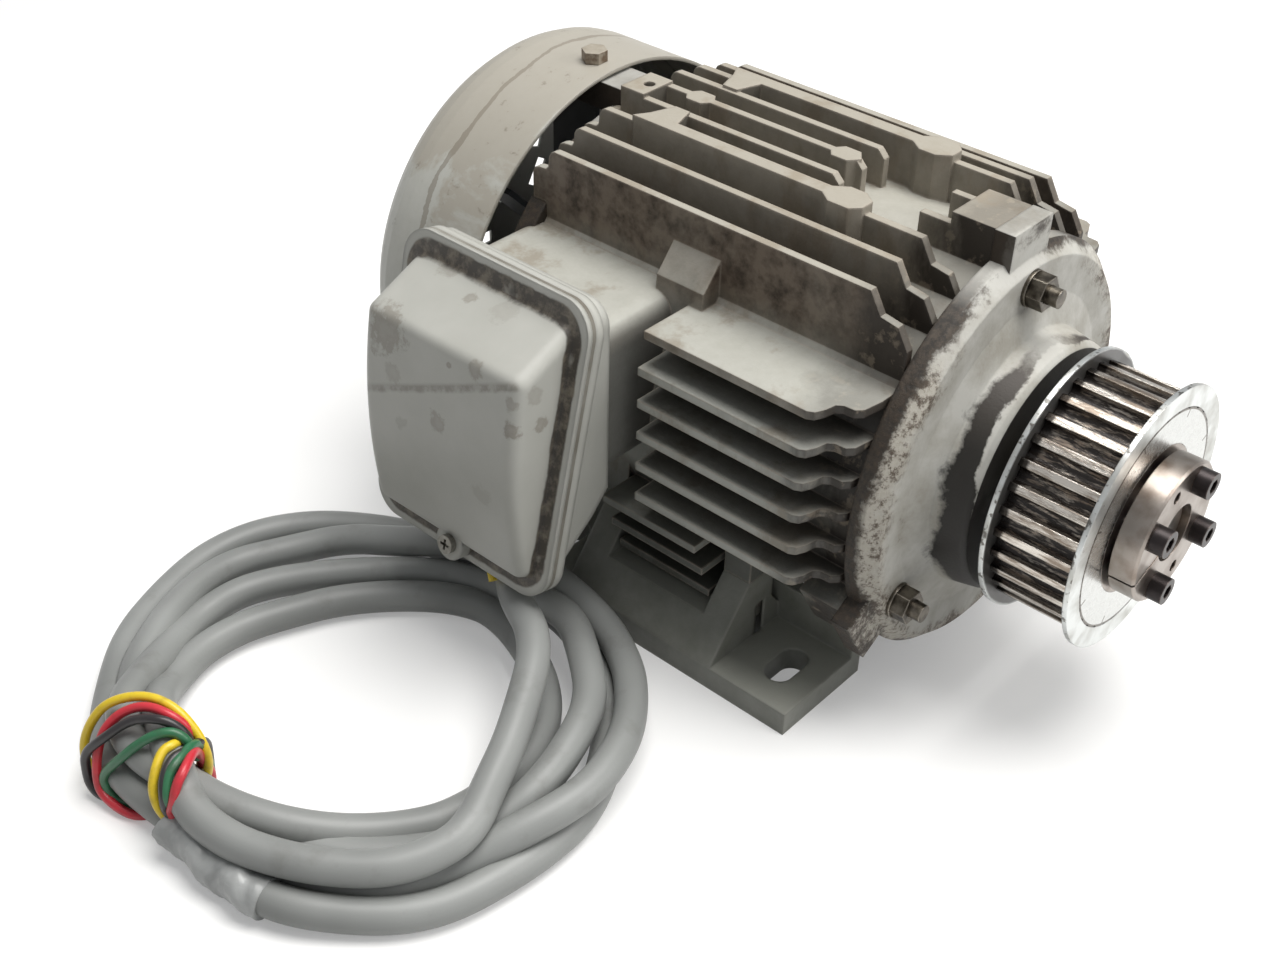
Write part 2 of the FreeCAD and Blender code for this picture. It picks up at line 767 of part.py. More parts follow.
# Flat seats for the two bolted feet
seat_floor = "leg_top_height - axis_height"
for side in (-1, 1):
    for end in (-1, 1):
        sketch = new_sketch(frame, "XY", seat_floor)
        rectangle(
            sketch, f"{side} * leg_inner_top", f"{side} * leg_outer_top",
            f"{end} * leg_rib_inner", f"{end} * leg_half_length",
        )
        pad(frame, sketch, "3.2 * fin_pitch - 2 * fin_sink")

# Room for the fan-end shield and its lugs
room = circle(new_sketch(frame, "XZ", "-barrel_half_length"), "shield_radius + seat_gap")
cut(frame, room, "box_fan_side - barrel_half_length")
cut(frame, cowl_lug_outline(frame, "seat_gap"), "box_fan_side - barrel_half_length")

# Bore, tie-bolt passages, lead opening and the tapped holes of the foot and box screws
cut(frame, circle(new_sketch(frame, "XZ"), "stator_bore_radius + fit_gap"))
tie_holes(frame)
lead_sketch = new_sketch(frame, "YZ", "-box_seat_out")
circle(lead_sketch, "lead_hole_radius", "lead_hole_along", "lead_hole_height")
cut(frame, lead_sketch, "box_seat_out - stator_bore_radius / 2", back=True)
box_screw_sketch = new_sketch(frame, "YZ", "-box_seat_out")
box_middle = "(box_drive_side + box_fan_side) / 2"
for end in (-1, 1):
    place = f"{box_middle} + {end} * base_screw_spacing / 2"
    circle(box_screw_sketch, "base_screw_radius + fit_gap", place, "base_screw_height")
cut(frame, box_screw_sketch, "seat_gasket + base_screw_length", back=True)
foot_hole_sketch = new_sketch(frame, "XY", seat_floor)
for side in (-1, 1):
    for end in (-1, 1):
        circle(
            foot_hole_sketch, "foot_screw_radius + fit_gap",
            f"{side} * foot_screw_inset", f"{end} * foot_screw_along",
        )
cut(frame, foot_hole_sketch, "foot_screw_seat + foot_screw_length - leg_top_height + 1", back=True)


# Feet: cast brackets with slotted pads, a rib along the inner edge and a sloped leg, open in the
# middle for the low fins
def foot(label, side):
    body = new_body(label)
    leg = new_sketch(body, "XZ", "-leg_half_length")
    outline(
        leg,
        [
            (f"{side} * foot_half_width", "0"),
            (f"{side} * foot_half_width", "foot_thickness"),
            (f"{side} * leg_outer_top", "leg_top_height"),
            (f"{side} * leg_inner_top", "leg_top_height"),
            (f"{side} * leg_inner_top", "leg_web_height"),
            (f"{side} * foot_inner_edge", "foot_thickness"),
            (f"{side} * foot_inner_edge", "0"),
        ],
    )
    pad(body, leg, "2 * leg_half_length")
    plate = rectangle(
        new_sketch(body, "XY"), f"{side} * foot_inner_edge", f"{side} * foot_half_width",
        "-foot_half_length", "foot_half_length",
    )
    pad(body, plate, "foot_thickness")
    rib = rectangle(
        new_sketch(body, "XY"), f"{side} * foot_inner_edge", f"{side} * (foot_inner_edge + foot_rib)",
        "-foot_half_length", "foot_half_length",
    )
    pad(body, rib, "foot_rib_height")
    opening = rectangle(
        new_sketch(body, "XY", "leg_web_height"), f"{side} * foot_inner_edge", f"{side} * foot_half_width",
        "-leg_rib_inner", "leg_rib_inner",
    )
    cut(body, opening, "leg_top_height", back=True)
    core = rectangle(
        new_sketch(body, "XY"),
        f"{side} * (foot_inner_edge + leg_core_wall)", f"{side} * (leg_outer_top + leg_core_wall / 2)",
        "-leg_rib_inner + leg_core_wall", "leg_rib_inner - leg_core_wall",
    )
    cut(body, core, "leg_core_height", back=True)
    half = "(slot_length - slot_width) / 2"
    slot_x = f"{side} * slot_spacing_across / 2"
    for shift in (-1, 1):
        slot_ends = new_sketch(body, "XY")
        for end in (-1, 1):
            centre = f"{end} * slot_spacing_along / 2"
            circle(slot_ends, "slot_width / 2", f"{slot_x} + {shift} * {half}", centre)
        cut(body, slot_ends)
    bars = new_sketch(body, "XY")
    for end in (-1, 1):
        centre = f"{end} * slot_spacing_along / 2"
        rectangle(
            bars, f"{slot_x} - {half}", f"{slot_x} + {half}",
            f"{centre} - slot_width / 2", f"{centre} + slot_width / 2",
        )
    cut(body, bars)
    for radius, depth in (
        ("foot_screw_radius + bolt_clearance", "leg_top_height"),
        ("2 * foot_screw_radius - bolt_clearance", "foot_screw_seat"),
    ):
        holes = new_sketch(body, "XY")
        for end in (-1, 1):
            circle(holes, radius, f"{side} * foot_screw_inset", f"{end} * foot_screw_along")
        cut(body, holes, depth, back=True)
    return body


foot("left_foot", -1)
foot("right_foot", 1)


# Screws that hold the feet, driven up from below
foot_screws = new_body("foot_screws")
for radius, length, back in (
    ("2 * foot_screw_radius - 1", "foot_screw_radius * 2", True),
    ("foot_screw_radius", "foot_screw_length", False),
):
    sketch = new_sketch(foot_screws, "XY", "foot_screw_seat")
    for side in (-1, 1):
        for end in (-1, 1):
            circle(sketch, radius, f"{side} * foot_screw_inset", f"{end} * foot_screw_along")
    pad(foot_screws, sketch, length, back=back)

# Stator core: laminated ring with open slots
core = on_axis("stator_core")
ring = new_sketch(core, "XZ")
circle(ring, "stator_bore_radius")
circle(ring, "rotor_radius + air_gap")
pad(core, ring, "2 * core_half_length", both=True)
slot_sketch = rectangle(
    new_sketch(core, "XZ"), "rotor_radius", "stator_slot_floor",
    "-stator_slot_width / 2", "stator_slot_width / 2",
)
slot_cut = cut(core, slot_sketch, "2 * core_half_length + 2", both=True)
around(core, [slot_cut], "stator_slot_count")

# Stator winding: coil sides in the slots joined by the formed overhang at both ends
winding = on_axis("stator_winding")
for end in (-1, 1):
    overhang = new_sketch(winding, "XZ", f"{end} * core_half_length")
    circle(overhang, "winding_outer")
    circle(overhang, "winding_inner")
    pad(winding, overhang, "winding_overhang", back=end < 0)
coil_side = rectangle(
    new_sketch(winding, "XZ"), "winding_inner + coil_side_inset", "stator_slot_floor - 2 * fit_gap",
    "-stator_slot_width / 2 + fit_gap", "stator_slot_width / 2 - fit_gap",
)
coil_bar = pad(winding, coil_side, "2 * core_half_length", both=True)
around(winding, [coil_bar], "stator_slot_count")

# Rotor core and its cast cage of bars and end rings
rotor_core = on_axis("rotor_core")
ring = new_sketch(rotor_core, "XZ")
circle(ring, "rotor_radius")
circle(ring, "rotor_bore_radius + fit_gap")
pad(rotor_core, ring, "2 * core_half_length", both=True)
slot_sketch = rectangle(
    new_sketch(rotor_core, "XZ"), "rotor_slot_floor", "rotor_radius + 1",
    "-rotor_slot_width / 2", "rotor_slot_width / 2",
)
slot_cut = cut(rotor_core, slot_sketch, "2 * core_half_length + 2", both=True)
around(rotor_core, [slot_cut], "rotor_slot_count")

cage = on_axis("rotor_cage")
for end in (-1, 1):
    ring = new_sketch(cage, "XZ", f"{end} * core_half_length")
    circle(ring, "rotor_radius - air_gap")
    circle(ring, "rotor_slot_floor - 2")
    pad(cage, ring, "end_ring_length", back=end < 0)
bar = rectangle(
    new_sketch(cage, "XZ"), "rotor_slot_floor + fit_gap", "rotor_radius - 3 * air_gap",
    "-rotor_slot_width / 2 + fit_gap", "rotor_slot_width / 2 - fit_gap",
)
cage_bar = pad(cage, bar, "2 * core_half_length", both=True)
around(cage, [cage_bar], "rotor_slot_count")

# Shaft: turned steps for fan, bearings, rotor and pulley, with an open keyway
shaft = on_axis("shaft")
drive_inner_face = "drive_bearing_place + drive_bearing_width / 2"
fan_inner_face = "fan_bearing_place - fan_bearing_width / 2"
turned(
    shaft,
    [
        ("-shaft_end", "0"),
        ("-shaft_end", "shaft_radius - 1"),
        ("-shaft_end + 1", "shaft_radius"),
        ("-shaft_shoulder", "shaft_radius"),
        ("-shaft_shoulder", "drive_bearing_bore"),
        (drive_inner_face, "drive_bearing_bore"),
        (drive_inner_face, "shaft_collar_radius"),
        ("-core_half_length - end_ring_length", "shaft_collar_radius"),
        ("-core_half_length - end_ring_length", "rotor_bore_radius"),
        ("core_half_length + end_ring_length", "rotor_bore_radius"),
        ("core_half_length + end_ring_length", "shaft_collar_radius"),
        (fan_inner_face, "shaft_collar_radius"),
        (fan_inner_face, "fan_bearing_bore"),
        ("fan_seat_start", "fan_bearing_bore"),
        ("fan_seat_start", "fan_seat_radius"),
        ("fan_place + fan_length", "fan_seat_radius"),
        ("fan_place + fan_length", "fan_seat_radius - clip_groove"),
        ("fan_place + fan_length + clip_thickness + fit_gap", "fan_seat_radius - clip_groove"),
        ("fan_place + fan_length + clip_thickness + fit_gap", "fan_seat_radius"),
        ("shaft_fan_end", "fan_seat_radius"),
        ("shaft_fan_end", "0"),
    ],
)
key_sketch = rectangle(
    new_sketch(shaft, "XY", "shaft_radius - keyway_depth"), "-keyway_width / 2", "keyway_width / 2",
    "-shaft_end - 1", "-shaft_end + keyway_length",
)
cut(shaft, key_sketch, "keyway_depth + 1", back=True)


# Deep-groove ball bearings: outer ring, inner ring, balls and a pressed ring cage
def bearing_ring(label, near, far, flat, land, place, pitch, bend):
    """One ring: plain on the side that is fitted, with a raceway sunk into its other side."""
    body = on_axis(label)
    reach = f"sqrt(({bend})^2 - ({pitch} - ({land}))^2)"
    corners = [
        (near, flat), (far, flat), (far, land),
        (f"{place} + {reach}", land), (f"{place} - {reach}", land), (near, land),
    ]
    spots = [Vector(size(along), size(out), 0) for along, out in corners]
    sink = math.copysign(size(bend), size(land) - size(pitch))
    deepest = Vector(size(place), size(pitch) + sink, 0)
    sketch = new_sketch(body, "YZ")
    runs = [Part.LineSegment(spots[index], spots[(index + 1) % 6]) for index in range(6)]
    runs[3] = Part.Arc(spots[3], deepest, spots[4])
    sketch.addGeometry(runs)
    arc_starts_at_third = sketch.getPoint(3, 1).distanceToPoint(spots[3]) < size("fit_gap")
    arc_start, arc_end = (1, 2) if arc_starts_at_third else (2, 1)
    joints = [
        (0, 2, 1, 1), (1, 2, 2, 1), (2, 2, 3, arc_start),
        (3, arc_end, 4, 1), (4, 2, 5, 1), (5, 2, 0, 1),
    ]
    for joint in joints:
        sketch.addConstraint(Sketcher.Constraint("Coincident", *joint))
    pins = [(0, 1), (1, 1), (2, 1), (2, 2), (4, 1), (5, 1)]
    pin_points(sketch, [(*pin, *corner) for pin, corner in zip(pins, corners)])
    index = sketch.addConstraint(Sketcher.Constraint("Radius", 3, size(bend)))
    bind(sketch, f"Constraints[{index}]", bend)
    ring = feature(body, "Revolution", sketch)
    ring.ReferenceAxis = (origin_part(body, "Y_Axis"), [""])
    return body


def bearing(name, bore, radius, width, place):
    ball = f"(({radius} - {bore}) * 0.29)"
    pitch = f"(({radius} + {bore}) / 2)"
    near = f"{place} - {width} / 2"
    far = f"{place} + {width} / 2"
    land = f"(0.6 * {ball})"
    for label, flat, side in (("outer_ring", radius, "+"), ("inner_ring", f"{bore} + fit_gap", "-")):
        bearing_ring(
            f"{name}_bearing_{label}", near, far, flat, f"{pitch} {side} {land}", place, pitch,
            f"({ball} + bearing_gap)",
        )
    balls = on_axis(f"{name}_bearing_balls")
    half = new_sketch(balls, "YZ")
    centre = Vector(size(place), size(pitch), 0)
    start = centre - Vector(size(ball), 0, 0)
    finish = centre + Vector(size(ball), 0, 0)
    top = centre + Vector(0, size(ball), 0)
    arc = half.addGeometry(Part.Arc(start, top, finish))
    chord = half.addGeometry(Part.LineSegment(start, finish))
    half.addConstraint(Sketcher.Constraint("Coincident", arc, 1, chord, 2))
    half.addConstraint(Sketcher.Constraint("Coincident", arc, 2, chord, 1))
    half.addConstraint(Sketcher.Constraint("PointOnObject", arc, 3, chord))
    half.addConstraint(Sketcher.Constraint("Horizontal", chord))
    index = half.addConstraint(Sketcher.Constraint("Radius", arc, size(ball)))
    bind(half, f"Constraints[{index}]", ball)
    pin_points(half, [(arc, 3, place, pitch)])
    sphere = feature(balls, "Revolution", half)
    sphere.ReferenceAxis = (half, [f"Edge{chord + 1}"])
    around(balls, [sphere], "ball_count")
    ribbon = on_axis(f"{name}_bearing_cage")
    strip = f"(0.55 * {land})"
    turned(
        ribbon,
        [
            (f"{place} - {ball} - 1", f"{pitch} - {strip}"),
            (f"{place} + {ball} + 1", f"{pitch} - {strip}"),
            (f"{place} + {ball} + 1", f"{pitch} + {strip}"),
            (f"{place} - {ball} - 1", f"{pitch} + {strip}"),
        ],
    )
    window = circle(new_sketch(ribbon, "XY"), f"{ball} + fit_gap", "0", place)
    pocket = cut(ribbon, window, radius, back=True)
    around(ribbon, [pocket], "ball_count")


bearing("drive", "drive_bearing_bore", "drive_bearing_radius", "drive_bearing_width", "drive_bearing_place")
bearing("fan", "fan_bearing_bore", "fan_bearing_radius", "fan_bearing_width", "fan_bearing_place")

# Drive-end shield: cast disc with a spigot, a dished face and a stepped bearing hub
drive_shield = on_axis("drive_end_shield")
drive_outer_face = "drive_bearing_place - drive_bearing_width / 2"
drive_front = "-barrel_half_length - drive_hub_depth"
turned(
    drive_shield,
    [
        ("-barrel_half_length + spigot_depth", "stator_bore_radius - spigot_wall"),
        ("-barrel_half_length + spigot_depth", "stator_bore_radius"),
        ("-barrel_half_length", "stator_bore_radius"),
        ("-barrel_half_length", "shield_radius"),
        ("-barrel_half_length - shield_rim + 2", "shield_radius"),
        ("-barrel_half_length - shield_rim", "shield_radius - 2"),
        ("-barrel_half_length - shield_face_depth", "tie_circle_radius + tie_washer_radius"),
        ("-barrel_half_length - shield_face_depth", "tie_circle_radius - tie_washer_radius"),
        ("-barrel_half_length - shield_face_depth - 3", "drive_hub_radius + 2"),
        (f"{drive_front} + 1.5", "drive_hub_radius"),
        (drive_front, "drive_hub_radius - 1.5"),
        (drive_front, "seal_radius + fit_gap"),
        (f"{drive_front} + seal_width + seal_recess", "seal_radius + fit_gap"),
        (f"{drive_front} + seal_width + seal_recess", "drive_bearing_bore + seat_gap"),
        (f"{drive_outer_face}", "drive_bearing_bore + seat_gap"),
        (f"{drive_outer_face}", "drive_bearing_radius + fit_gap"),
        (drive_inner_face, "drive_bearing_radius + fit_gap"),
        (drive_inner_face, "drive_bearing_radius + shield_wall"),
        ("-barrel_half_length - shield_rim + 4", "stator_bore_radius - spigot_wall - 3"),
    ],
)
for index in TIE_INDEXES:
    reach = "lug_height" if index == 0 else "ear_reach"
    ear_front = "-barrel_half_length - shield_rim"
    plate_along_radius(
        drive_shield, index, "tie_circle_radius", reach, "ear_width", ear_front, "-barrel_half_length"
    )
tie_holes(drive_shield)

# Fan-end shield, with three lugs that carry the cowl
fan_shield = on_axis("fan_end_shield")
fan_outer_face = "fan_bearing_place + fan_bearing_width / 2"
fan_back = "barrel_half_length + fan_hub_depth"
turned(
    fan_shield,
    [
        ("barrel_half_length - spigot_depth", "stator_bore_radius - spigot_wall"),
        ("barrel_half_length - spigot_depth", "stator_bore_radius"),
        ("barrel_half_length", "stator_bore_radius"),
        ("barrel_half_length", "shield_radius"),
        ("barrel_half_length + shield_rim", "shield_radius"),
        ("barrel_half_length + shield_rim", "tie_circle_radius - tie_washer_radius"),
        ("barrel_half_length + shield_rim + 2", "fan_hub_radius + 3"),
        (fan_back, "fan_hub_radius"),
        (fan_back, "fan_bearing_bore + 2"),
        (f"{fan_outer_face} + washer_thickness", "fan_bearing_bore + 2"),
        (f"{fan_outer_face} + washer_thickness", "fan_bearing_radius + fit_gap"),
        (fan_inner_face, "fan_bearing_radius + fit_gap"),
        (fan_inner_face, "fan_bearing_radius + shield_wall"),
        ("barrel_half_length + shield_rim - 4", "stator_bore_radius - spigot_wall - 3"),
    ],
)


pad(fan_shield, cowl_lug_outline(fan_shield), "cowl_lug_length", back=True)
tie_holes(fan_shield)


def cowl_screw_holes(body, radius):
    """Three radial holes for the cowl screws."""
    for angle in COWL_ANGLES:
        hole = circle(radial_sketch(body, angle, "barrel_radius"), radius, "0", "cowl_screw_place")
        cut(body, hole, "cowl_radius", back=True)


cowl_screw_holes(fan_shield, "cowl_screw_radius + fit_gap")

# Spring washer that loads the fan-end bearing, and the seal on the drive side
washer = on_axis("preload_washer")
turned(
    washer,
    [
        (fan_outer_face, "fan_bearing_radius - 4"),
        (f"{fan_outer_face} + washer_thickness", "fan_bearing_radius - 4"),
        (f"{fan_outer_face} + washer_thickness", "fan_bearing_radius - fit_gap"),
        (fan_outer_face, "fan_bearing_radius - fit_gap"),
    ],
)
seal = on_axis("shaft_seal")
seal_face = f"{drive_front} + seal_recess"
turned(
    seal,
    [
        (seal_face, "drive_bearing_bore + fit_gap + 2"),
        (f"{seal_face} + seal_width", "drive_bearing_bore + fit_gap"),
        (f"{seal_face} + seal_width", "seal_radius"),
        (seal_face, "seal_radius"),
    ],
)

# Tie bolts, their washers and nuts
drive_face = "barrel_half_length + shield_face_depth"
fan_face = "barrel_half_length + shield_rim"
tie_bolts = on_axis("tie_bolts")
shank = new_sketch(tie_bolts, "XZ", f"-({fan_face})")
heads = new_sketch(tie_bolts, "XZ", f"-({fan_face})")
for index in TIE_INDEXES:
    circle(shank, "tie_bolt_radius", *tie_place(index))
    hexagon(heads, "tie_nut_flats", *tie_place(index))
reach = f"{fan_face} + {drive_face} + tie_washer_thickness + tie_nut_height + tie_end_overhang"
pad(tie_bolts, shank, reach)
pad(tie_bolts, heads, "tie_head_height", back=True)

tie_washers = on_axis("tie_washers")
sketch = new_sketch(tie_washers, "XZ", drive_face)
for index in TIE_INDEXES:
    circle(sketch, "tie_washer_radius", *tie_place(index))
    circle(sketch, "tie_bolt_radius + fit_gap", *tie_place(index))
pad(tie_washers, sketch, "tie_washer_thickness")

tie_nuts = on_axis("tie_nuts")
sketch = new_sketch(tie_nuts, "XZ", f"{drive_face} + tie_washer_thickness")
for index in TIE_INDEXES:
    hexagon(sketch, "tie_nut_flats", *tie_place(index))
    circle(sketch, "tie_bolt_radius + fit_gap", *tie_place(index))
pad(tie_nuts, sketch, "tie_nut_height")

# Cooling fan: hub, back plate and straight radial blades, held by a spring clip
fan = on_axis("cooling_fan")
turned(
    fan,
    [
        ("fan_place", "fan_seat_radius + fit_gap"),
        ("fan_place + fan_length", "fan_seat_radius + fit_gap"),
        ("fan_place + fan_length", "fan_hub_outer - 1"),
        ("fan_place + fan_plate", "fan_hub_outer"),
        ("fan_place + fan_plate", "fan_plate_radius"),
        ("fan_place", "fan_plate_radius"),
    ],
)
blade = rectangle(
    new_sketch(fan, "XZ", "-fan_place"), "fan_hub_outer - 2", "fan_radius",
    "-fan_blade_thickness / 2", "fan_blade_thickness / 2",
)
fan_blade = pad(fan, blade, "fan_length", back=True)
around(fan, [fan_blade], "fan_blade_count")

clip = on_axis("fan_clip")
clip_near = "fan_place + fan_length + fit_gap / 2"
turned(
    clip,
    [
        (clip_near, "fan_seat_radius - clip_groove + fit_gap"),
        (f"{clip_near} + clip_thickness", "fan_seat_radius - clip_groove + fit_gap"),
        (f"{clip_near} + clip_thickness", "clip_radius"),
        (clip_near, "clip_radius"),
    ],
)
gap = rectangle(new_sketch(clip, "XZ"), "-clip_radius / 4", "clip_radius / 4", "0", "clip_radius + 1")
cut(clip, gap)

# Fan cowl: pressed sheet cup with a rounded back and rings of air slots
cowl = on_axis("fan_cowl")
ROUND_STEPS = 6


def cowl_wall(inset):
    """The cup's outline from rim to middle of the back, as points (place along Y, radius)."""
    points = [("cowl_front", f"cowl_radius - {inset}")]
    for step in range(ROUND_STEPS + 1):
        angle = 90 * step / ROUND_STEPS
        along = f"cowl_back - cowl_round + (cowl_round - {inset}) * sin({angle})"
        out = f"cowl_radius - cowl_round + (cowl_round - {inset}) * cos({angle})"
        points.append((along, out))
    points.append((f"cowl_back - {inset}", "0"))
    return points


turned(cowl, cowl_wall("0") + cowl_wall("cowl_sheet")[::-1])
for ring_index in range(SIZES["grille_ring_count"]):
    inner = f"(grille_first_radius + {ring_index} * (grille_slot_length + grille_slot_gap))"
    slot = rectangle(
        new_sketch(cowl, "XZ", "-cowl_back - 1"), inner, f"{inner} + grille_slot_length",
        "-grille_slot_width / 2", "grille_slot_width / 2",
    )
    slot_cut = cut(cowl, slot, "2 * cowl_sheet + 1", back=True)
    around(cowl, [slot_cut], f"grille_slot_count - {4 * (2 - ring_index)}")
cowl_screw_holes(cowl, "cowl_screw_radius + bolt_clearance")

cowl_screws = on_axis("cowl_screws")
for angle in COWL_ANGLES:
    head = radial_sketch(cowl_screws, angle, "cowl_radius + fit_gap")
    pad(cowl_screws, hexagon(head, "cowl_screw_flats", "0", "cowl_screw_place"), "cowl_screw_head")
    shank = radial_sketch(cowl_screws, angle, "cowl_radius + cowl_screw_head / 2")
    circle(shank, "cowl_screw_radius", "0", "cowl_screw_place")
    pad(cowl_screws, shank, "cowl_screw_length + cowl_screw_head / 2", back=True)

# Terminal box base: open casting with a slanted rim, an inclined floor and a flat back
base = new_body("terminal_box_base")
rim_top = "rim_bottom_height + rim_length * cos(rim_tilt)"
box_width = "box_fan_side - box_drive_side"
shell = new_sketch(base, "YZ", "-rim_bottom_out")
rounded_rectangle(
    shell, "box_drive_side + base_inset", "box_fan_side - base_inset",
    "rim_bottom_height + base_inset", f"{rim_top} - base_inset", "base_round",
)
pad(base, shell, "rim_bottom_out - box_seat_out")
FAR_OUT = "(rim_bottom_out + base_corner)"
outer_cut = new_sketch(base, "XZ")
outline(
    outer_cut,
    [
        on_rim("lid_gasket", "-base_corner"),
        on_rim("lid_gasket", "rim_length + base_corner"),
        (f"-{FAR_OUT}", f"{rim_top} + base_corner"),
        (f"-{FAR_OUT}", "rim_bottom_height - 2 * base_corner"),
    ],
)
cut(base, outer_cut)
floor_cut = new_sketch(base, "XZ")
outline(
    floor_cut,
    [
        on_rim("0", "base_inset"),
        on_rim("base_floor_depth", "base_floor_rise"),
        ("-box_seat_out", "rim_bottom_height + base_floor_rise + base_inset"),
        ("-box_seat_out + 1", "rim_bottom_height - base_corner"),
        (f"-{FAR_OUT}", "rim_bottom_height - base_corner"),
        (f"-{FAR_OUT}", "rim_bottom_height"),
    ],
)
cut(base, floor_cut)
rim = rim_sketch(base, "lid_gasket")
rounded_rectangle(rim, "box_drive_side", "box_fan_side", "0", "rim_length", "base_corner")
pad(base, rim, "base_rim")
hollow = new_sketch(base, "XZ", "-(box_drive_side + base_inset + base_wall)")
outline(
    hollow,
    [
        on_rim("-1", "base_inset + 1.6 * base_wall"),
        on_rim("base_floor_depth - 0.2 * base_wall", "base_floor_rise + 1.2 * base_wall"),
        ("-box_seat_out - base_wall", "rim_bottom_height + base_floor_rise + base_inset + 1.5 * base_wall"),
        (
            "-box_seat_out - base_wall",
            f"{rim_top} - base_inset - base_wall - base_top_depth * sin(rim_tilt)",
        ),
        on_rim("-1", "rim_length - base_inset - base_wall"),
    ],
)
cut(base, hollow, f"{box_width} - 2 * base_inset - 2 * base_wall")
ear = new_sketch(base, "XZ", "-(lid_ear_along - lid_ear_radius)")
outline(
    ear,
    [
        on_rim("lid_gasket", "lid_ear_rise - lid_ear_radius"),
        on_rim("lid_gasket + lid_screw_length - lid_ear_depth + 4", "lid_ear_rise - lid_ear_radius"),
        on_rim("base_floor_depth / 2", "base_floor_rise / 2 + base_inset + base_wall / 2"),
        on_rim("lid_gasket", "base_inset + 1.5 * base_wall"),
    ],
)
pad(base, ear, "2 * lid_ear_radius", back=True)
tap = circle(rim_sketch(base, "0"), "lid_screw_radius + fit_gap", "lid_ear_along", "lid_ear_rise")
cut(base, tap, "lid_gasket + lid_screw_length - lid_ear_depth + 1", back=True)
holes = new_sketch(base, "YZ", "-box_seat_out - 2 * base_wall")
circle(holes, "lead_hole_radius", "lead_hole_along", "axis_height + lead_hole_height")
for end in (-1, 1):
    place = f"{box_middle} + {end} * base_screw_spacing / 2"
    circle(holes, "base_screw_radius + bolt_clearance", place, "axis_height + base_screw_height")
cut(base, holes, "3 * base_wall", back=True)
cable_x = "-(rim_bottom_out - grommet_inset)"
hole_low = "rim_bottom_height - base_corner"
cable_hole = circle(new_sketch(base, "XY", hole_low), "grommet_radius", cable_x, "grommet_along")
cut(base, cable_hole, f"grommet_high - ({hole_low})", back=True)

# Gasket between the frame's seat and the box
seat_gasket = new_body("seat_gasket")
sheet_outline = new_sketch(seat_gasket, "YZ", "-box_seat_out")
rounded_rectangle(
    sheet_outline, "box_drive_side + pedestal_inset", "box_fan_side - pedestal_inset",
    f"axis_height + {seat_low}", f"axis_height + {seat_high}", "base_round",
)
pad(seat_gasket, sheet_outline, "seat_gasket")
holes = new_sketch(seat_gasket, "YZ", "-box_seat_out")
circle(holes, "lead_hole_radius", "lead_hole_along", "axis_height + lead_hole_height")
for end in (-1, 1):
    place = f"{box_middle} + {end} * base_screw_spacing / 2"
    circle(holes, "base_screw_radius + bolt_clearance", place, "axis_height + base_screw_height")
cut(seat_gasket, holes, "seat_gasket", back=True)

box_screws = new_body("box_base_screws")
inner_wall = "-box_seat_out - base_wall"
for radius, length, back in (
    ("base_screw_head", "base_screw_radius", True),
    ("base_screw_radius", "base_wall + seat_gasket + base_screw_length - 1", False),
):
    sketch = new_sketch(box_screws, "YZ", inner_wall)
    for end in (-1, 1):
        place = f"{box_middle} + {end} * base_screw_spacing / 2"
        circle(sketch, radius, place, "axis_height + base_screw_height")
    pad(box_screws, sketch, length, back=back)

# Lid gasket and lid: a flange in the rim plane with a sloped, rounded dome, a tongue that finds the
# base and one screw boss
lid_gasket = new_body("lid_gasket")
strip = rim_sketch(lid_gasket, "0")
rounded_rectangle(strip, "box_drive_side", "box_fan_side", "0", "rim_length", "base_corner")
pad(lid_gasket, strip, "lid_gasket")
inner = rim_sketch(lid_gasket, "0")
rectangle(
    inner, "box_drive_side + base_inset + base_wall", "box_fan_side - base_inset - base_wall",
    "lid_ear_rise + lid_ear_radius", "rim_length - base_inset - base_wall",
)
cut(lid_gasket, inner, "lid_gasket", back=True)
tap = rim_sketch(lid_gasket, "0")
circle(tap, "lid_screw_radius + bolt_clearance", "lid_ear_along", "lid_ear_rise")
cut(lid_gasket, tap, "lid_gasket", back=True)

lid = new_body("terminal_box_lid")
dome = new_sketch(lid, "XZ", "-(box_drive_side + lid_lip)")
dome_corners = [
    on_rim("0", "lid_lip"),
    on_rim("-lid_bottom_depth", "lid_bottom_rise"),
    on_rim("-lid_top_depth", "lid_top_rise"),
    on_rim("0", "rim_length - lid_lip"),
]
foot_low, front_low, front_high, foot_high = [Vector(size(x), size(z), 0) for x, z in dome_corners]
chord = front_high - front_low
front_radius = size("lid_front_radius")
inward = Vector(chord.y, -chord.x, 0).normalize()
bend_centre = (front_low + front_high) / 2 + inward * math.sqrt(front_radius**2 - chord.Length**2 / 4)
from_high = front_high - bend_centre
from_low = front_low - bend_centre
front_curve = Part.ArcOfCircle(
    Part.Circle(bend_centre, Vector(0, 0, 1), front_radius),
    math.atan2(from_high.y, from_high.x), math.atan2(from_low.y, from_low.x) % (2 * math.pi),
)
dome.addGeometry(
    [
        Part.LineSegment(foot_low, front_low),
        front_curve,
        Part.LineSegment(front_high, foot_high),
        Part.LineSegment(foot_high, foot_low),
    ]
)
dome.addConstraint(
    [
        Sketcher.Constraint("Coincident", 0, 2, 1, 2),
        Sketcher.Constraint("Coincident", 1, 1, 2, 1),
        Sketcher.Constraint("Coincident", 2, 2, 3, 1),
        Sketcher.Constraint("Coincident", 3, 2, 0, 1),
    ]
)
bend = dome.addConstraint(Sketcher.Constraint("Radius", 1, front_radius))
bind(dome, f"Constraints[{bend}]", "lid_front_radius")
pin_points(dome, [(geometry, 1, *dome_corners[geometry]) for geometry in (0, 2, 3)])
pin_points(dome, [(0, 2, *dome_corners[1])])
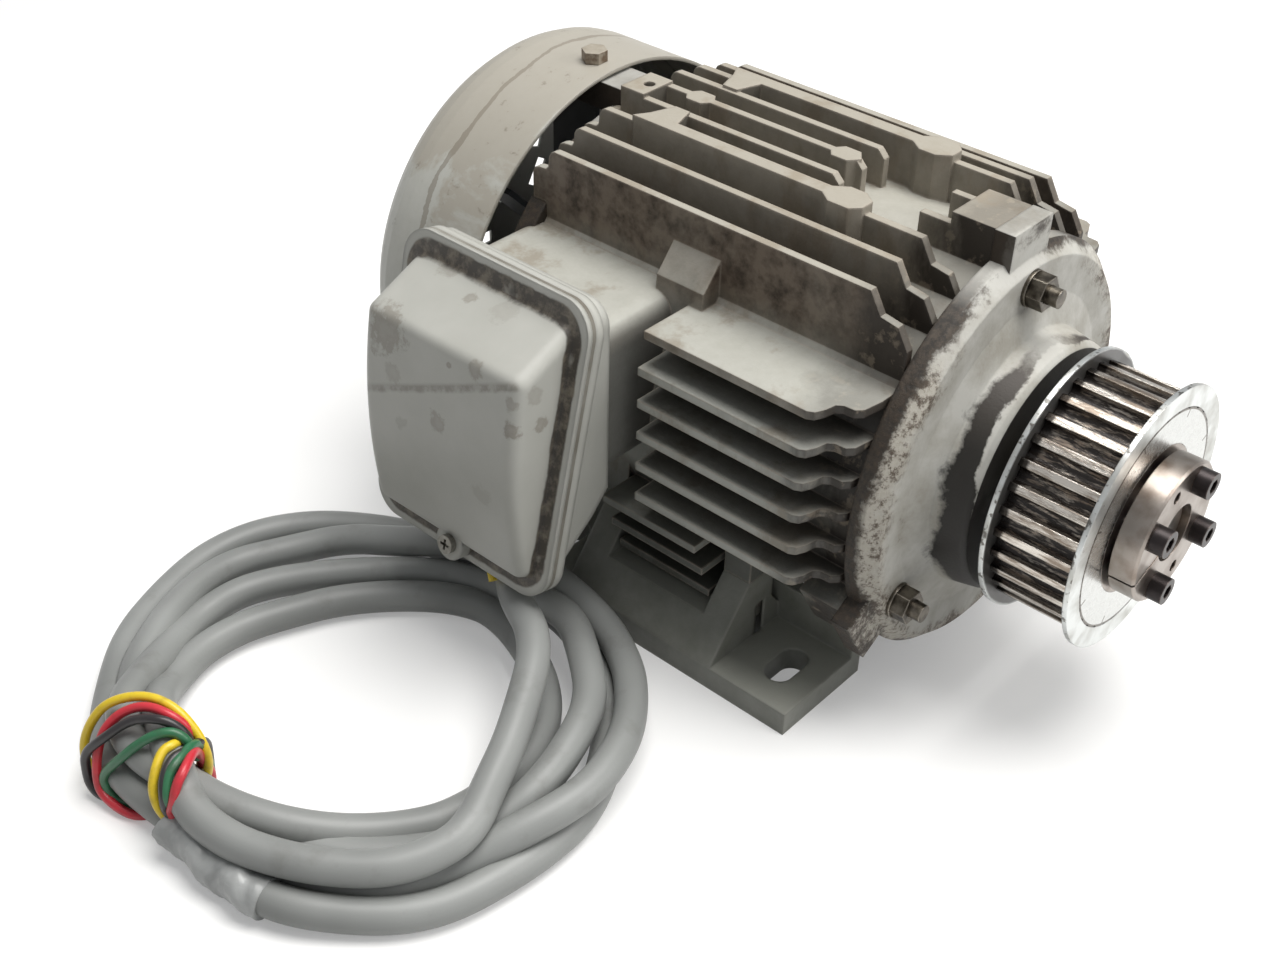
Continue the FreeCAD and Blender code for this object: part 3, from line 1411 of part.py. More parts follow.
pad(lid, dome, f"{box_width} - 2 * lid_lip", back=True)


def off_rim_plane(edge):
    """Whether an edge of the dome rises from the rim plane or lies beyond it."""
    tilt = math.radians(size("rim_tilt"))
    foot = Vector(-size("rim_bottom_out"), 0, size("rim_bottom_height"))
    outward = Vector(-math.cos(tilt), 0, math.sin(tilt))
    return max((vertex.Point - foot).dot(outward) for vertex in edge.Vertexes) > 1


rounded(lid, "lid_round", off_rim_plane)
flange = rim_sketch(lid, "0")
rounded_rectangle(flange, "box_drive_side", "box_fan_side", "0", "rim_length", "base_corner")
pad(lid, flange, "lid_flange", back=True)
boss = circle(rim_sketch(lid, "0"), "lid_ear_radius", "lid_ear_along", "lid_ear_rise")
pad(lid, boss, "lid_ear_depth", back=True)
tongue = rim_sketch(lid, "0")
rectangle(
    tongue, f"{box_middle} - lid_tongue_width / 2", f"{box_middle} + lid_tongue_width / 2",
    "rim_length - base_inset - base_wall - seat_gap - lid_flange",
    "rim_length - base_inset - base_wall - seat_gap",
)
pad(lid, tongue, "lid_tongue_depth")
hollow = new_sketch(lid, "XZ", "-(box_drive_side + lid_lip + lid_wall)")
outline(
    hollow,
    [
        on_rim("1", "lid_lip + 1.5 * lid_wall"),
        on_rim("-lid_bottom_depth + lid_wall", "lid_bottom_rise + 1.5 * lid_wall"),
        on_rim("-lid_top_depth + lid_wall", "lid_top_rise - lid_wall"),
        on_rim("1", "rim_length - lid_lip - lid_wall"),
    ],
)
cut(lid, hollow, f"{box_width} - 2 * lid_lip - 2 * lid_wall")
tap = rim_sketch(lid, "-lid_ear_depth - 1")
circle(tap, "lid_screw_radius + bolt_clearance", "lid_ear_along", "lid_ear_rise")
cut(lid, tap, "lid_ear_depth + 2", back=True)

lid_screw = new_body("lid_screw")
for radius, length, back in (
    ("lid_screw_head", "0.7 * lid_screw_head", True),
    ("lid_screw_radius", "lid_screw_length", False),
):
    sketch = circle(rim_sketch(lid_screw, "-lid_ear_depth"), radius, "lid_ear_along", "lid_ear_rise")
    pad(lid_screw, sketch, length, back=back)
cross = rim_sketch(lid_screw, "-lid_ear_depth - 0.7 * lid_screw_head")
rectangle(
    cross, "lid_ear_along - 0.6 * lid_screw_head", "lid_ear_along + 0.6 * lid_screw_head",
    "lid_ear_rise - 0.15 * lid_screw_head", "lid_ear_rise + 0.15 * lid_screw_head",
)
cut(lid_screw, cross, "0.4 * lid_screw_head", back=True)
upright = rim_sketch(lid_screw, "-lid_ear_depth - 0.7 * lid_screw_head")
rectangle(
    upright, "lid_ear_along - 0.15 * lid_screw_head", "lid_ear_along + 0.15 * lid_screw_head",
    "lid_ear_rise - 0.6 * lid_screw_head", "lid_ear_rise + 0.6 * lid_screw_head",
)
cut(lid_screw, upright, "0.4 * lid_screw_head", back=True)

# Terminal block with three studs and nuts, the winding leads and the earth screw
block = new_body("terminal_block")
block_height = "(axis_height + block_base_rise)"
plate = new_sketch(block, "YZ", inner_wall)
rectangle(
    plate, f"{box_middle} - block_base_length / 2", f"{box_middle} + block_base_length / 2",
    f"{block_height} - block_base_width / 2", f"{block_height} + block_base_width / 2",
)
pad(block, plate, "block_base_height", back=True)
STUD_PLACES = [f"{box_middle} + {step} * stud_spacing" for step in (-1, 0, 1)]
block_top = f"{inner_wall} - block_base_height"
sockets = new_sketch(block, "YZ", block_top)
for place in STUD_PLACES:
    circle(sockets, "stud_radius + fit_gap", place, block_height)
cut(block, sockets, "block_base_height / 2", back=True)
studs = new_body("terminal_studs")
sketch = new_sketch(studs, "YZ", f"{block_top} + block_base_height / 2")
for place in STUD_PLACES:
    circle(sketch, "stud_radius", place, block_height)
pad(studs, sketch, "block_base_height / 2 + stud_height", back=True)
stud_nuts = new_body("terminal_nuts")
sketch = new_sketch(stud_nuts, "YZ", block_top)
for place in STUD_PLACES:
    hexagon(sketch, "stud_nut_flats", place, block_height)
    circle(sketch, "stud_radius + fit_gap", place, block_height)
pad(stud_nuts, sketch, "stud_nut_height", back=True)
leads = new_body("stator_leads")
lead_start = "sqrt(winding_outer^2 - (lead_hole_height - lead_radius)^2) + fit_gap"
sketch = new_sketch(leads, "YZ", f"-({lead_start})")
for step in (-1, 0, 1):
    circle(
        sketch, "lead_radius", f"lead_hole_along + {step} * lead_hole_radius / 2",
        "axis_height + lead_hole_height",
    )
pad(leads, sketch, f"box_seat_out + block_base_height - ({lead_start})", back=True)
earth = new_body("earth_screw")
earth_place = "box_drive_side + base_inset + base_wall + earth_screw_head + 1"
for radius, length, back in (
    ("earth_screw_head", "earth_screw_radius", True),
    ("earth_screw_radius", "base_wall / 2", False),
):
    sketch = new_sketch(earth, "YZ", inner_wall)
    circle(sketch, radius, earth_place, "axis_height + lead_hole_height")
    pad(earth, sketch, length, back=back)
earth_tap = new_sketch(base, "YZ", f"{inner_wall} - 1")
circle(earth_tap, "earth_screw_radius + fit_gap", earth_place, "axis_height + lead_hole_height")
cut(base, earth_tap, "1 + 0.7 * base_wall", back=True)

# Belt pulley: toothed rim, flange seats turned at both ends, bored for the clamping bush
pulley = on_axis("timing_pulley")
turned(
    pulley,
    [
        ("-pulley_front", "pulley_bore_radius"),
        ("-pulley_front", "flange_seat_radius"),
        ("-pulley_front + flange_thickness", "flange_seat_radius"),
        ("-pulley_front + flange_thickness", "pulley_radius"),
        ("-pulley_rear - flange_thickness", "pulley_radius"),
        ("-pulley_rear - flange_thickness", "flange_seat_radius"),
        ("-pulley_rear", "flange_seat_radius"),
        ("-pulley_rear", "pulley_bore_radius"),
    ],
)
groove_centre = "(pulley_radius - groove_depth + groove_radius)"
groove_sketch = circle(
    new_sketch(pulley, "XZ", "pulley_rear - 1"), "groove_radius",
    f"{groove_centre} * cos(tooth_turn + 180 / tooth_count)",
    f"{groove_centre} * sin(tooth_turn + 180 / tooth_count)",
)
tooth_gap = cut(pulley, groove_sketch, "pulley_front - pulley_rear + 2", back=True)
around(pulley, [tooth_gap], "tooth_count")


def plain_ring(label, near, far, inner, outer):
    body = on_axis(label)
    turned(body, [(near, inner), (far, inner), (far, outer), (near, outer)])
    return body


plain_ring(
    "pulley_front_flange", "-pulley_front", "-pulley_front + flange_thickness",
    "flange_seat_radius + fit_gap", "flange_radius",
)
plain_ring(
    "pulley_rear_flange", "-pulley_rear - flange_thickness", "-pulley_rear",
    "flange_seat_radius + fit_gap", "flange_radius",
)

# Clamping bush: slit inner sleeve with a collar, drawn into the outer sleeve by four screws
def bush_places(turn="0"):
    places = []
    for index in range(SIZES["bush_screw_count"]):
        angle = f"(bush_screw_angle + {turn} + {index} * 360 / bush_screw_count)"
        places.append((f"bush_screw_circle * cos({angle})", f"bush_screw_circle * sin({angle})"))
    return places


bush_inner = on_axis("bush_inner_sleeve")
turned(
    bush_inner,
    [
        ("-bush_face", "shaft_radius + fit_gap"),
        ("-bush_face", "bush_collar_radius - 0.8"),
        ("-bush_face + 0.8", "bush_collar_radius"),
        ("-bush_collar_back", "bush_collar_radius"),
        ("-bush_collar_back", "bush_split_radius"),
        ("-bush_rear", "bush_split_radius"),
        ("-bush_rear", "shaft_radius + fit_gap"),
    ],
)
slit = radial_strip("bush_slit_angle", "0", "bush_collar_radius + 1", "bush_slit")
cut(bush_inner, outline(new_sketch(bush_inner, "XZ"), slit))
sketch = new_sketch(bush_inner, "XZ", "bush_face")
for place in bush_places():
    circle(sketch, "bush_screw_radius + bolt_clearance", *place)
for place in bush_places("jack_hole_turn")[::2]:
    circle(sketch, "jack_hole_radius", *place)
cut(bush_inner, sketch, "bush_face - bush_collar_back")

bush_outer = on_axis("bush_outer_sleeve")
outer_front = "pulley_front"
ring = new_sketch(bush_outer, "XZ", "bush_rear")
circle(ring, "pulley_bore_radius - fit_gap")
circle(ring, "bush_split_radius + fit_gap")
pad(bush_outer, ring, f"{outer_front} - bush_rear")
sketch = new_sketch(bush_outer, "XZ", outer_front)
for place in bush_places():
    circle(sketch, "bush_screw_radius + fit_gap", *place)
cut(bush_outer, sketch, "bush_screw_length - bush_face + pulley_front + 1")

bush_screws = on_axis("bush_screws")
for radius, length, back in (
    ("bush_screw_head", "bush_screw_head_length", False),
    ("bush_screw_radius", "bush_screw_length", True),
):
    sketch = new_sketch(bush_screws, "XZ", "bush_face")
    for place in bush_places():
        circle(sketch, radius, *place)
    pad(bush_screws, sketch, length, back=back)
sketch = new_sketch(bush_screws, "XZ", "bush_face + bush_screw_head_length")
for place in bush_places():
    hexagon(sketch, "2 * bush_socket_radius", *place)
cut(bush_screws, sketch, "bush_socket_depth")

# Rubber grommet in the box floor
grommet = new_body("cable_grommet")
ring = new_sketch(grommet, "XY", "grommet_low")
circle(ring, "grommet_radius - fit_gap", cable_x, "grommet_along")
circle(ring, "cable_radius + fit_gap", cable_x, "grommet_along")
pad(grommet, ring, "grommet_high - grommet_low")


def round_route(points, share=0.45):
    """A wire of straight runs joined by tangent arcs, and the smallest arc radius in it."""
    edges = []
    start = points[0]
    tightest = math.inf
    for before, corner, after in zip(points, points[1:], points[2:]):
        arriving = (corner - before).normalize()
        leaving = (after - corner).normalize()
        half_turn = arriving.getAngle(leaving) / 2
        trim = share * min((corner - before).Length, (after - corner).Length)
        tightest = min(tightest, trim / math.tan(half_turn))
        enter = corner - arriving * trim
        leave = corner + leaving * trim
        radius = trim / math.tan(half_turn)
        inward = ((enter + leave) / 2 - corner).normalize()
        top = corner + inward * (radius / math.cos(half_turn) - radius)
        edges.append(Part.LineSegment(start, enter).toShape())
        edges.append(Part.Arc(enter, top, leave).toShape())
        start = leave
    edges.append(Part.LineSegment(start, points[-1]).toShape())
    return Part.Wire(edges), tightest


def tube(label, points, radius):
    """A round cord along a route, as one solid."""
    route, tightest = round_route(points)
    first = route.Edges[0]
    section = Part.Wire(Part.makeCircle(radius, points[0], first.tangentAt(first.FirstParameter)))
    solid = route.makePipeShell([section], True, False)
    item = doc.addObject("Part::Feature", label)
    item.Label = label
    item.Shape = solid
    print(label, "length", round(route.Length, 1), "tightest bend", round(tightest, 1),
          "volume ratio", round(solid.Volume / (math.pi * radius**2 * route.Length), 3))
    return item


# Cable from the grommet down onto the coil
exit_x = size(cable_x)
exit_y = size("grommet_along")
low = size("grommet_low")
DROP_ROUTE = [
    Vector(exit_x, exit_y, low + 4.0),
    Vector(exit_x, exit_y, low - 3.5),
    Vector(exit_x - 2.4, exit_y - 3.8, low - 10.0),
    Vector(-114.0, 26.2, 31.2),
    Vector(-119.2, 18.5, 31.1),
    Vector(-124.6, 6.0, 31.0),
    Vector(-134.0, -3.5, 29.5),
    Vector(-146.0, -11.0, 27.0),
    Vector(-160.0, -19.0, 24.0),
]
tube("cable_drop", DROP_ROUTE, size("cable_radius"))

# Coiled cable on the ground, drawn in at the place where the wires tie it
def oval(sketch, centre_x, centre_y, half_x, half_y, steps):
    points = []
    for step in range(steps):
        angle = 360 * step / steps
        across = f"{centre_x} + ({half_x}) * cos({angle})"
        points.append((across, f"{centre_y} + ({half_y}) * sin({angle})"))
    return outline(sketch, points)


coil = new_body("cable_coil")
ring = new_sketch(coil, "XY", "coil_lift")
for half_width, half_length, corners in (
    (
        "coil_half_width", "coil_half_length",
        ("coil_box_corner", "coil_back_corner", "coil_front_corner", "coil_box_corner"),
    ),
    ("coil_hole_half_width", "coil_hole_half_length", ("coil_hole_corner",)),
):
    rounded_rectangle(
        ring, f"-coil_centre_out - {half_width}", f"-coil_centre_out + {half_width}",
        f"coil_centre_along - {half_length}", f"coil_centre_along + {half_length}", *corners,
    )
pad(coil, ring, "coil_height")
waist = rectangle(
    new_sketch(coil, "XY"), "-coil_centre_out - coil_half_width - 1",
    "-coil_centre_out - coil_hole_half_width / 2",
    "waist_along - waist_length / 2", "waist_along + waist_length / 2",
)
cut(coil, waist, "coil_height + coil_lift + 1", back=True)
WAIST_STEPS = 20
tied = new_sketch(coil, "XZ", "-waist_along")
oval(tied, "-waist_out", "waist_height", "waist_half_width", "waist_half_height", WAIST_STEPS)
pad(coil, tied, "waist_length + 2", both=True)

wrap = new_body("wire_wrap")
ring = new_sketch(wrap, "XZ", "-waist_along")
for growth in ("seat_gap + 1.15 * wire_diameter", "seat_gap"):
    oval(
        ring, "-waist_out", "waist_height",
        f"waist_half_width + {growth}", f"waist_half_height + {growth}", WAIST_STEPS,
    )
pad(wrap, ring, "waist_length - 4", both=True)

# Taped end of the cable, lying against the front of the coil
TAPE_ROUTE = [
    Vector(-236.6, -7.0, 7.2),
    Vector(-240.2, 6.0, 7.0),
    Vector(-241.5, 22.0, 7.6),
    Vector(-242.2, 38.0, 9.5),
]
tube("cable_tape", TAPE_ROUTE, size("tape_radius"))

doc.recompute()

PIECES = [item for item in doc.Objects if item.TypeId in ("PartDesign::Body", "Part::Feature")]
for item in doc.Objects:
    if "Invalid" in item.State or "Error" in item.State:
        raise RuntimeError("feature failed: " + item.Name)
for item in PIECES:
    if item.Shape.isNull() or not item.Shape.isValid() or item.Shape.Volume <= 0:
        raise RuntimeError("no sound solid: " + item.Label)

os.makedirs("parts", exist_ok=True)
for item in PIECES:
    item.Shape.exportStep("parts/" + item.Label + ".step")
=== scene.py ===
import math

import bpy
from mathutils import Matrix, Vector


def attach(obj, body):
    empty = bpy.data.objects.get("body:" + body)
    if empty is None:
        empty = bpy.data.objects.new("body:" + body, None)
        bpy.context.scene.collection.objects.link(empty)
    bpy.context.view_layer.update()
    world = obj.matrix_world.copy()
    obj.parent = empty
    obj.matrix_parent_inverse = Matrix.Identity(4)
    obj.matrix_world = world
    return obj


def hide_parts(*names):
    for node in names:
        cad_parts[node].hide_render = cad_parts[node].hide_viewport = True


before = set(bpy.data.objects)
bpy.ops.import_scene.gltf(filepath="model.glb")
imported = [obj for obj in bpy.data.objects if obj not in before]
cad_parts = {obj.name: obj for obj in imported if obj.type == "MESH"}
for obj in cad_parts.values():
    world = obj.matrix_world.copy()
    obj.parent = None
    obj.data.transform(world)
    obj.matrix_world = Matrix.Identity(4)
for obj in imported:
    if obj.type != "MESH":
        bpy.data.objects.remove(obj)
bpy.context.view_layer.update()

# Camera
# The view of the photograph: from above the cable side of the drive end,
# with a normal lens and a slight roll. It is worked out from the foot slots, the pulley and the cowl.
AZIMUTH, ELEVATION, ROLL = (math.radians(angle) for angle in (-49.0795, 37.0918, 1.5479))
CAMERA_PLACE = (-0.404454, -0.279979, 0.393555)
LENS_MM, SENSOR_MM, NEAREST = 47.274, 36.0, 0.01
back = Vector((math.sin(AZIMUTH) * math.cos(ELEVATION), -math.cos(AZIMUTH) * math.cos(ELEVATION),
               math.sin(ELEVATION)))
level = Vector((math.cos(AZIMUTH), math.sin(AZIMUTH), 0.0))
above = back.cross(level)
right = level * math.cos(ROLL) + above * math.sin(ROLL)
upward = above * math.cos(ROLL) - level * math.sin(ROLL)
camera_data = bpy.data.cameras.new("view")
camera_data.sensor_fit = "HORIZONTAL"
camera_data.sensor_width = SENSOR_MM
camera_data.lens = LENS_MM
camera_data.clip_start = NEAREST
camera = bpy.data.objects.new("view", camera_data)
bpy.context.scene.collection.objects.link(camera)
turned = Matrix((right, upward, back)).transposed().to_4x4()
camera.matrix_world = Matrix.Translation(CAMERA_PLACE) @ turned
bpy.context.scene.camera = camera
bpy.context.scene.view_settings.view_transform = "Standard"


# Floor and studio light
# A white sheet under soft overhead light. The sheet takes the object's shadow,
# and the room shows white to the camera and in the bright metal.
def linear(code):
    """The linear colour of an sRGB hex value."""
    parts = [int(code[i:i + 2], 16) / 255 for i in (1, 3, 5)]
    return tuple(c / 12.92 if c < 0.04045 else ((c + 0.055) / 1.055) ** 2.4 for c in parts) + (1.0,)


def plug(node, sockets):
    """Feeds a node's sockets: each takes a value, an output, or another node for its one live output."""
    for name, value in sockets.items():
        if isinstance(value, bpy.types.Node):
            value = next(output for output in value.outputs if output.enabled)
        if isinstance(value, bpy.types.NodeSocket):
            node.id_data.links.new(value, node.inputs[name])
        else:
            node.inputs[name].default_value = value


def add(tree, kind, sockets=None, **settings):
    """Adds one shader node with its settings and links; a Mix node mixes colours."""
    made = tree.nodes.new("ShaderNode" + kind)
    if kind == "Mix":
        made.data_type = "RGBA"
    for name, value in settings.items():
        setattr(made, name, value)
    plug(made, sockets or {})
    return made


def empty_tree(owner):
    """The node tree of a material or world, with nothing in it."""
    owner.use_nodes = True
    owner.node_tree.nodes.clear()
    return owner.node_tree


FLOOR_HALF, FLOOR_CUTS = 3.0, 4
# The sheet's own glow as it is seen, and the distances over which it fades to white
FLOOR_GLOW = 0.26
FADE_START, FADE_END = 0.45, 1.0
# Light of the room, and the share of plain white in reflections
ROOM_LIGHT, WHITE_IN_METAL = 0.31, 0.35
LAMP_COLOUR = (1.0, 0.985, 0.965)
# Each lamp with its place, what it points at, its width and its watts
LAMPS = [("top_softbox", (0.15, -0.15, 1.25), (-0.05, 0.0, 0.08), 1.0, 20.5),
         ("front_softbox", (0.55, -1.1, 0.75), (0.0, -0.05, 0.08), 0.8, 7.5)]
bpy.ops.object.select_all(action="DESELECT")
bpy.ops.mesh.primitive_plane_add(size=2 * FLOOR_HALF, location=(0.0, 0.0, 0.0))
floor = bpy.context.object
floor.name = "floor_sheet"
bpy.ops.object.mode_set(mode="EDIT")
bpy.ops.mesh.subdivide(number_cuts=FLOOR_CUTS)
bpy.ops.object.mode_set(mode="OBJECT")

# Matt white paper: it takes soft shadows, looks a little brighter to the camera and in metal than it lights
# the object, and fades to plain white away from it.
paper = bpy.data.materials.new("white_paper_sheet")
tree = empty_tree(paper)
seen = add(tree, "LightPath")
matt = add(tree, "BsdfDiffuse", {"Color": linear("#c6c6c5")})
soft = add(tree, "BsdfDiffuse", {"Color": linear("#dededd")})
glow = add(tree, "Emission", {"Color": linear("#ffffff"), "Strength": FLOOR_GLOW})
near = add(tree, "AddShader", {0: soft, 1: glow})
spot = add(tree, "TexCoord")
away = add(tree, "VectorMath", {0: spot.outputs["Object"]}, operation="LENGTH")
away = add(tree, "MapRange", {"Value": away, "From Min": FADE_START, "From Max": FADE_END})
far = add(tree, "Emission", {"Color": linear("#ffffff"), "Strength": 1.0})
shown = add(tree, "MixShader", {0: away, 1: near, 2: far})
direct = add(tree, "Math", {0: seen.outputs["Is Camera Ray"], 1: seen.outputs["Is Glossy Ray"]},
             operation="MAXIMUM")
pick = add(tree, "MixShader", {0: direct, 1: matt, 2: shown})
add(tree, "OutputMaterial", {"Surface": pick})
floor.data.materials.append(paper)

# The room: dim white walls, which the camera and part of each reflection see as plain white.
world = bpy.data.worlds.new("studio")
bpy.context.scene.world = world
tree = empty_tree(world)
seen = add(tree, "LightPath")
direct = add(tree, "Math", {0: seen.outputs["Is Glossy Ray"], 1: WHITE_IN_METAL,
                            2: seen.outputs["Is Camera Ray"]}, operation="MULTIPLY_ADD")
room = add(tree, "Background", {"Color": linear("#f6f8fb"), "Strength": ROOM_LIGHT})
white = add(tree, "Background", {"Color": linear("#ffffff"), "Strength": 1.0})
pick = add(tree, "MixShader", {0: direct, 1: room, 2: white})
add(tree, "OutputWorld", {"Surface": pick})

for label, place, aim, size, watts in LAMPS:
    lamp = bpy.data.lights.new(label, "AREA")
    lamp.shape = "DISK"
    lamp.size = size
    lamp.energy = watts
    lamp.color = LAMP_COLOUR
    lamp_object = bpy.data.objects.new(label, lamp)
    bpy.context.scene.collection.objects.link(lamp_object)
    lamp_object.location = place
    lamp_object.rotation_euler = (Vector(aim) - Vector(place)).to_track_quat("-Z", "Y").to_euler()

# Supply cable
# A grey PVC-sheathed four-core lead, 11 mm thick, that drops out of the terminal box
# and lies wound in four and a half loose turns, with its taped end beside the last turn.
MM = 0.001
CABLE_DIAMETER = 0.011
CABLE_DROP = [(-107.1, 35, 49.5), (-107.1, 35, 42), (-109.5, 31.2, 35.5), (-114, 26.2, 31.2),
              (-119.2, 18.5, 31.1), (-124.6, 6, 31), (-134, -3.5, 29.5), (-146, -11, 27), (-160, -19, 24)]
FIRST_TURN = [(-174.4, -25.3, 22), (-190.4, -32.9, 20), (-204.2, -29.3, 17.8), (-214.8, -22.4, 16.9),
              (-224.1, -11.4, 16.8), (-231.7, 1.7, 16.8), (-237.1, 15.4, 17), (-238.6, 31.2, 17.2),
              (-235.9, 41.4, 19.4), (-226.5, 62.6, 25.1), (-217.2, 80.9, 16), (-206.1, 92, 7.4),
              (-189.8, 99.2, 6.1), (-172.7, 99.3, 5.7), (-158.2, 93.9, 5.8), (-140.3, 85.8, 5.8),
              (-124.1, 72.2, 5.8), (-111.8, 56.9, 5.8), (-107, 40, 5.8), (-116.5, 11.7, 5.8),
              (-131.6, -7.3, 5.8), (-150, -15.9, 5.8), (-168.6, -17.5, 5.8)]
SECOND_TURN = [(-182.7, -14.9, 5.8), (-191.8, -10, 5.8), (-201.2, -3, 6.2), (-211.2, 4.8, 8.6),
               (-220.6, 14, 12.3), (-226.6, 25.2, 14), (-230.1, 35.5, 15), (-232.2, 48.5, 15.2),
               (-236.4, 65.5, 19.7), (-228.5, 84.7, 18.2), (-208.7, 96.5, 14), (-187.9, 111, 5.7),
               (-167, 115, 5.9), (-151.8, 110.9, 5.8), (-133.6, 98.6, 5.8), (-118, 84.4, 5.8),
               (-105.2, 69.2, 5.8), (-101, 50.3, 8.3), (-100.2, 34.7, 14), (-99.3, 13.5, 16.4)]
THIRD_TURN = [(-112.9, -6.3, 17.1), (-124.6, -19.7, 17), (-141.2, -27.6, 16.8), (-160.2, -32.2, 15),
              (-175.8, -29.6, 9.6), (-187.1, -25.5, 6), (-200.2, -16.3, 5.9), (-212.7, -3.9, 5.8),
              (-220.3, 10.9, 5.8), (-225.1, 27.7, 5.6), (-227.4, 47.1, 8.2), (-229, 65.9, 9.1),
              (-223.4, 85.6, 8.9), (-214.5, 100.7, 9.5), (-199.6, 111.2, 10.2), (-178.2, 122.7, 9.1),
              (-155.6, 127.8, 6.9), (-136.9, 120.4, 5.8), (-118.4, 107.7, 8.4), (-109.7, 88.8, 12.1),
              (-96.4, 69.2, 15.2), (-88.5, 39.8, 16.5)]
FOURTH_TURN = [(-91.2, 8, 14.2), (-101.6, -14.6, 13.8), (-116.7, -30, 15.6), (-130.9, -39.2, 16.7),
               (-147.9, -44.4, 16.7), (-161.6, -44.2, 16.7), (-176.5, -39.8, 14.8), (-194.8, -30.5, 7),
               (-212.6, -22.1, 5.8), (-225.4, -5.8, 5.8), (-231.9, 12.3, 5.8), (-236.1, 31.3, 5.8),
               (-238.6, 47.8, 6.2), (-240.4, 65.7, 9.7), (-235.4, 86.2, 6.8), (-219.5, 105.1, 5.7),
               (-201.9, 121.9, 5.8), (-182.1, 131.4, 5.8), (-158.7, 138.2, 5.8), (-138.1, 136.1, 5.8),
               (-120.5, 125.8, 5.8), (-107.7, 110, 5.8), (-97.6, 91.6, 5.8), (-92.4, 66.4, 5.6)]
CABLE_TAIL = [(-91.9, 37.9, 5.6), (-95.9, 10.2, 5.6), (-108.7, -10.8, 5.6), (-119.9, -22.8, 5.6),
              (-130.2, -31.6, 5.6), (-143.1, -39.3, 5.6), (-156.5, -43.8, 5.6), (-171.3, -44.4, 5.6),
              (-185.5, -42.9, 5.6), (-202.9, -39.3, 5.6), (-215.3, -32.4, 5.6), (-226, -21.2, 5.8),
              (-236.6, -7, 7.2), (-240.2, 6, 7), (-240.9, 22, 7.6), (-240.7, 38, 9.5)]


def cord_curve(label, points_mm, diameter, sides=6):
    """A smooth round cord along one open spline whose control points are given in millimetres."""
    curve = bpy.data.curves.new(label, "CURVE")
    curve.dimensions = "3D"
    curve.resolution_u = 8
    curve.bevel_depth = diameter / 2
    curve.bevel_resolution = sides
    curve.use_fill_caps = True
    line = curve.splines.new("NURBS")
    line.points.add(len(points_mm) - 1)
    for point, place in zip(line.points, points_mm):
        point.co = tuple(c * MM for c in place) + (1.0,)
    line.order_u = 3
    line.use_endpoint_u = True
    made = bpy.data.objects.new(label, curve)
    bpy.context.scene.collection.objects.link(made)
    return made


CABLE_ROUTE = CABLE_DROP + FIRST_TURN + SECOND_TURN + THIRD_TURN + FOURTH_TURN + CABLE_TAIL
cable = cord_curve("supply_cable", CABLE_ROUTE, CABLE_DIAMETER)


def shaded(label, roughness=0.5, metallic=0.0, specular=0.5):
    """A new material with one main shader: gives it, its tree, the shader and the piece's coordinates."""
    material = bpy.data.materials.new(label)
    tree = empty_tree(material)
    shader = add(tree, "BsdfPrincipled", {"Roughness": roughness, "Metallic": metallic,
                                          "Specular IOR Level": specular})
    add(tree, "OutputMaterial", {"Surface": shader})
    place = add(tree, "TexCoord")
    return material, tree, shader, place.outputs["Object"]


# Extruded soft PVC: a dull even grey with a broad sheen, rubbed lighter in places,
# with faint smears of dirt and a fine grain from the die. Smears are about 14 mm long, grain 0.8 mm.
sheath, tree, shader, place = shaded("grey_pvc_sheath", specular=0.45)
smear = add(tree, "TexNoise", {"Vector": place, "Scale": 1 / 0.014, "Detail": 4.0, "Roughness": 0.6})
rub = add(tree, "TexNoise", {"Vector": place, "Scale": 1 / 0.045, "Detail": 2.0})
grain = add(tree, "TexNoise", {"Vector": place, "Scale": 1 / 0.0008, "Detail": 2.0})
pale = add(tree, "MapRange", {"Value": rub, "From Min": 0.35, "From Max": 0.7})
base = add(tree, "Mix", {0: pale, 6: linear("#7f817f"), 7: linear("#919391")})
soil = add(tree, "MapRange", {"Value": smear, "From Min": 0.58, "From Max": 0.78, "To Max": 0.4})
dull = add(tree, "Mix", {0: soil, 6: base, 7: linear("#5f5d58")})
gloss = add(tree, "MapRange", {"Value": smear, "To Min": 0.34, "To Max": 0.55})
skin = add(tree, "Bump", {"Height": grain, "Strength": 0.12, "Distance": 0.0002})
plug(shader, {"Base Color": dull, "Roughness": gloss, "Normal": skin})
cable.data.materials.append(sheath)
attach(cable, "stator")
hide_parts("cable_drop", "cable_coil")

# Taped cable end
# Silver-grey PVC tape wound over the cut end of the sheath, in overlapping laps
# that are pressed and creased by hand, flat and wide where the wires leave it.
TAPE_LINE = [(-238.6, 0, 6.9), (-240.3, 7, 7), (-241, 15, 7.2), (-240.9, 27, 8), (-240.6, 41, 10)]
TAPE_RADIUS, TAPE_LAP, LAP_PITCH = 0.0062, 0.0004, 0.017
# Creases and one broad dent: height, angle run along the tape, waves round it and start angle
CREASES = [(0.00018, 7 * math.tau, 3, 0.0), (0.00012, 19.0, 6, 1.3), (0.0005, 2.2 * math.tau, 2, 0.7)]
FLAT_FROM, FLAT_WIDER, FLAT_LOWER = 0.62, 0.10, 0.12
TAPE_LOWEST = 0.0006
SHARP_FOLD = math.radians(50)


def as_mesh(cord):
    """Turns a cord's curve into a mesh."""
    bpy.ops.object.select_all(action="DESELECT")
    cord.select_set(True)
    bpy.context.view_layer.objects.active = cord
    bpy.ops.object.convert(target="MESH")
    return bpy.context.object


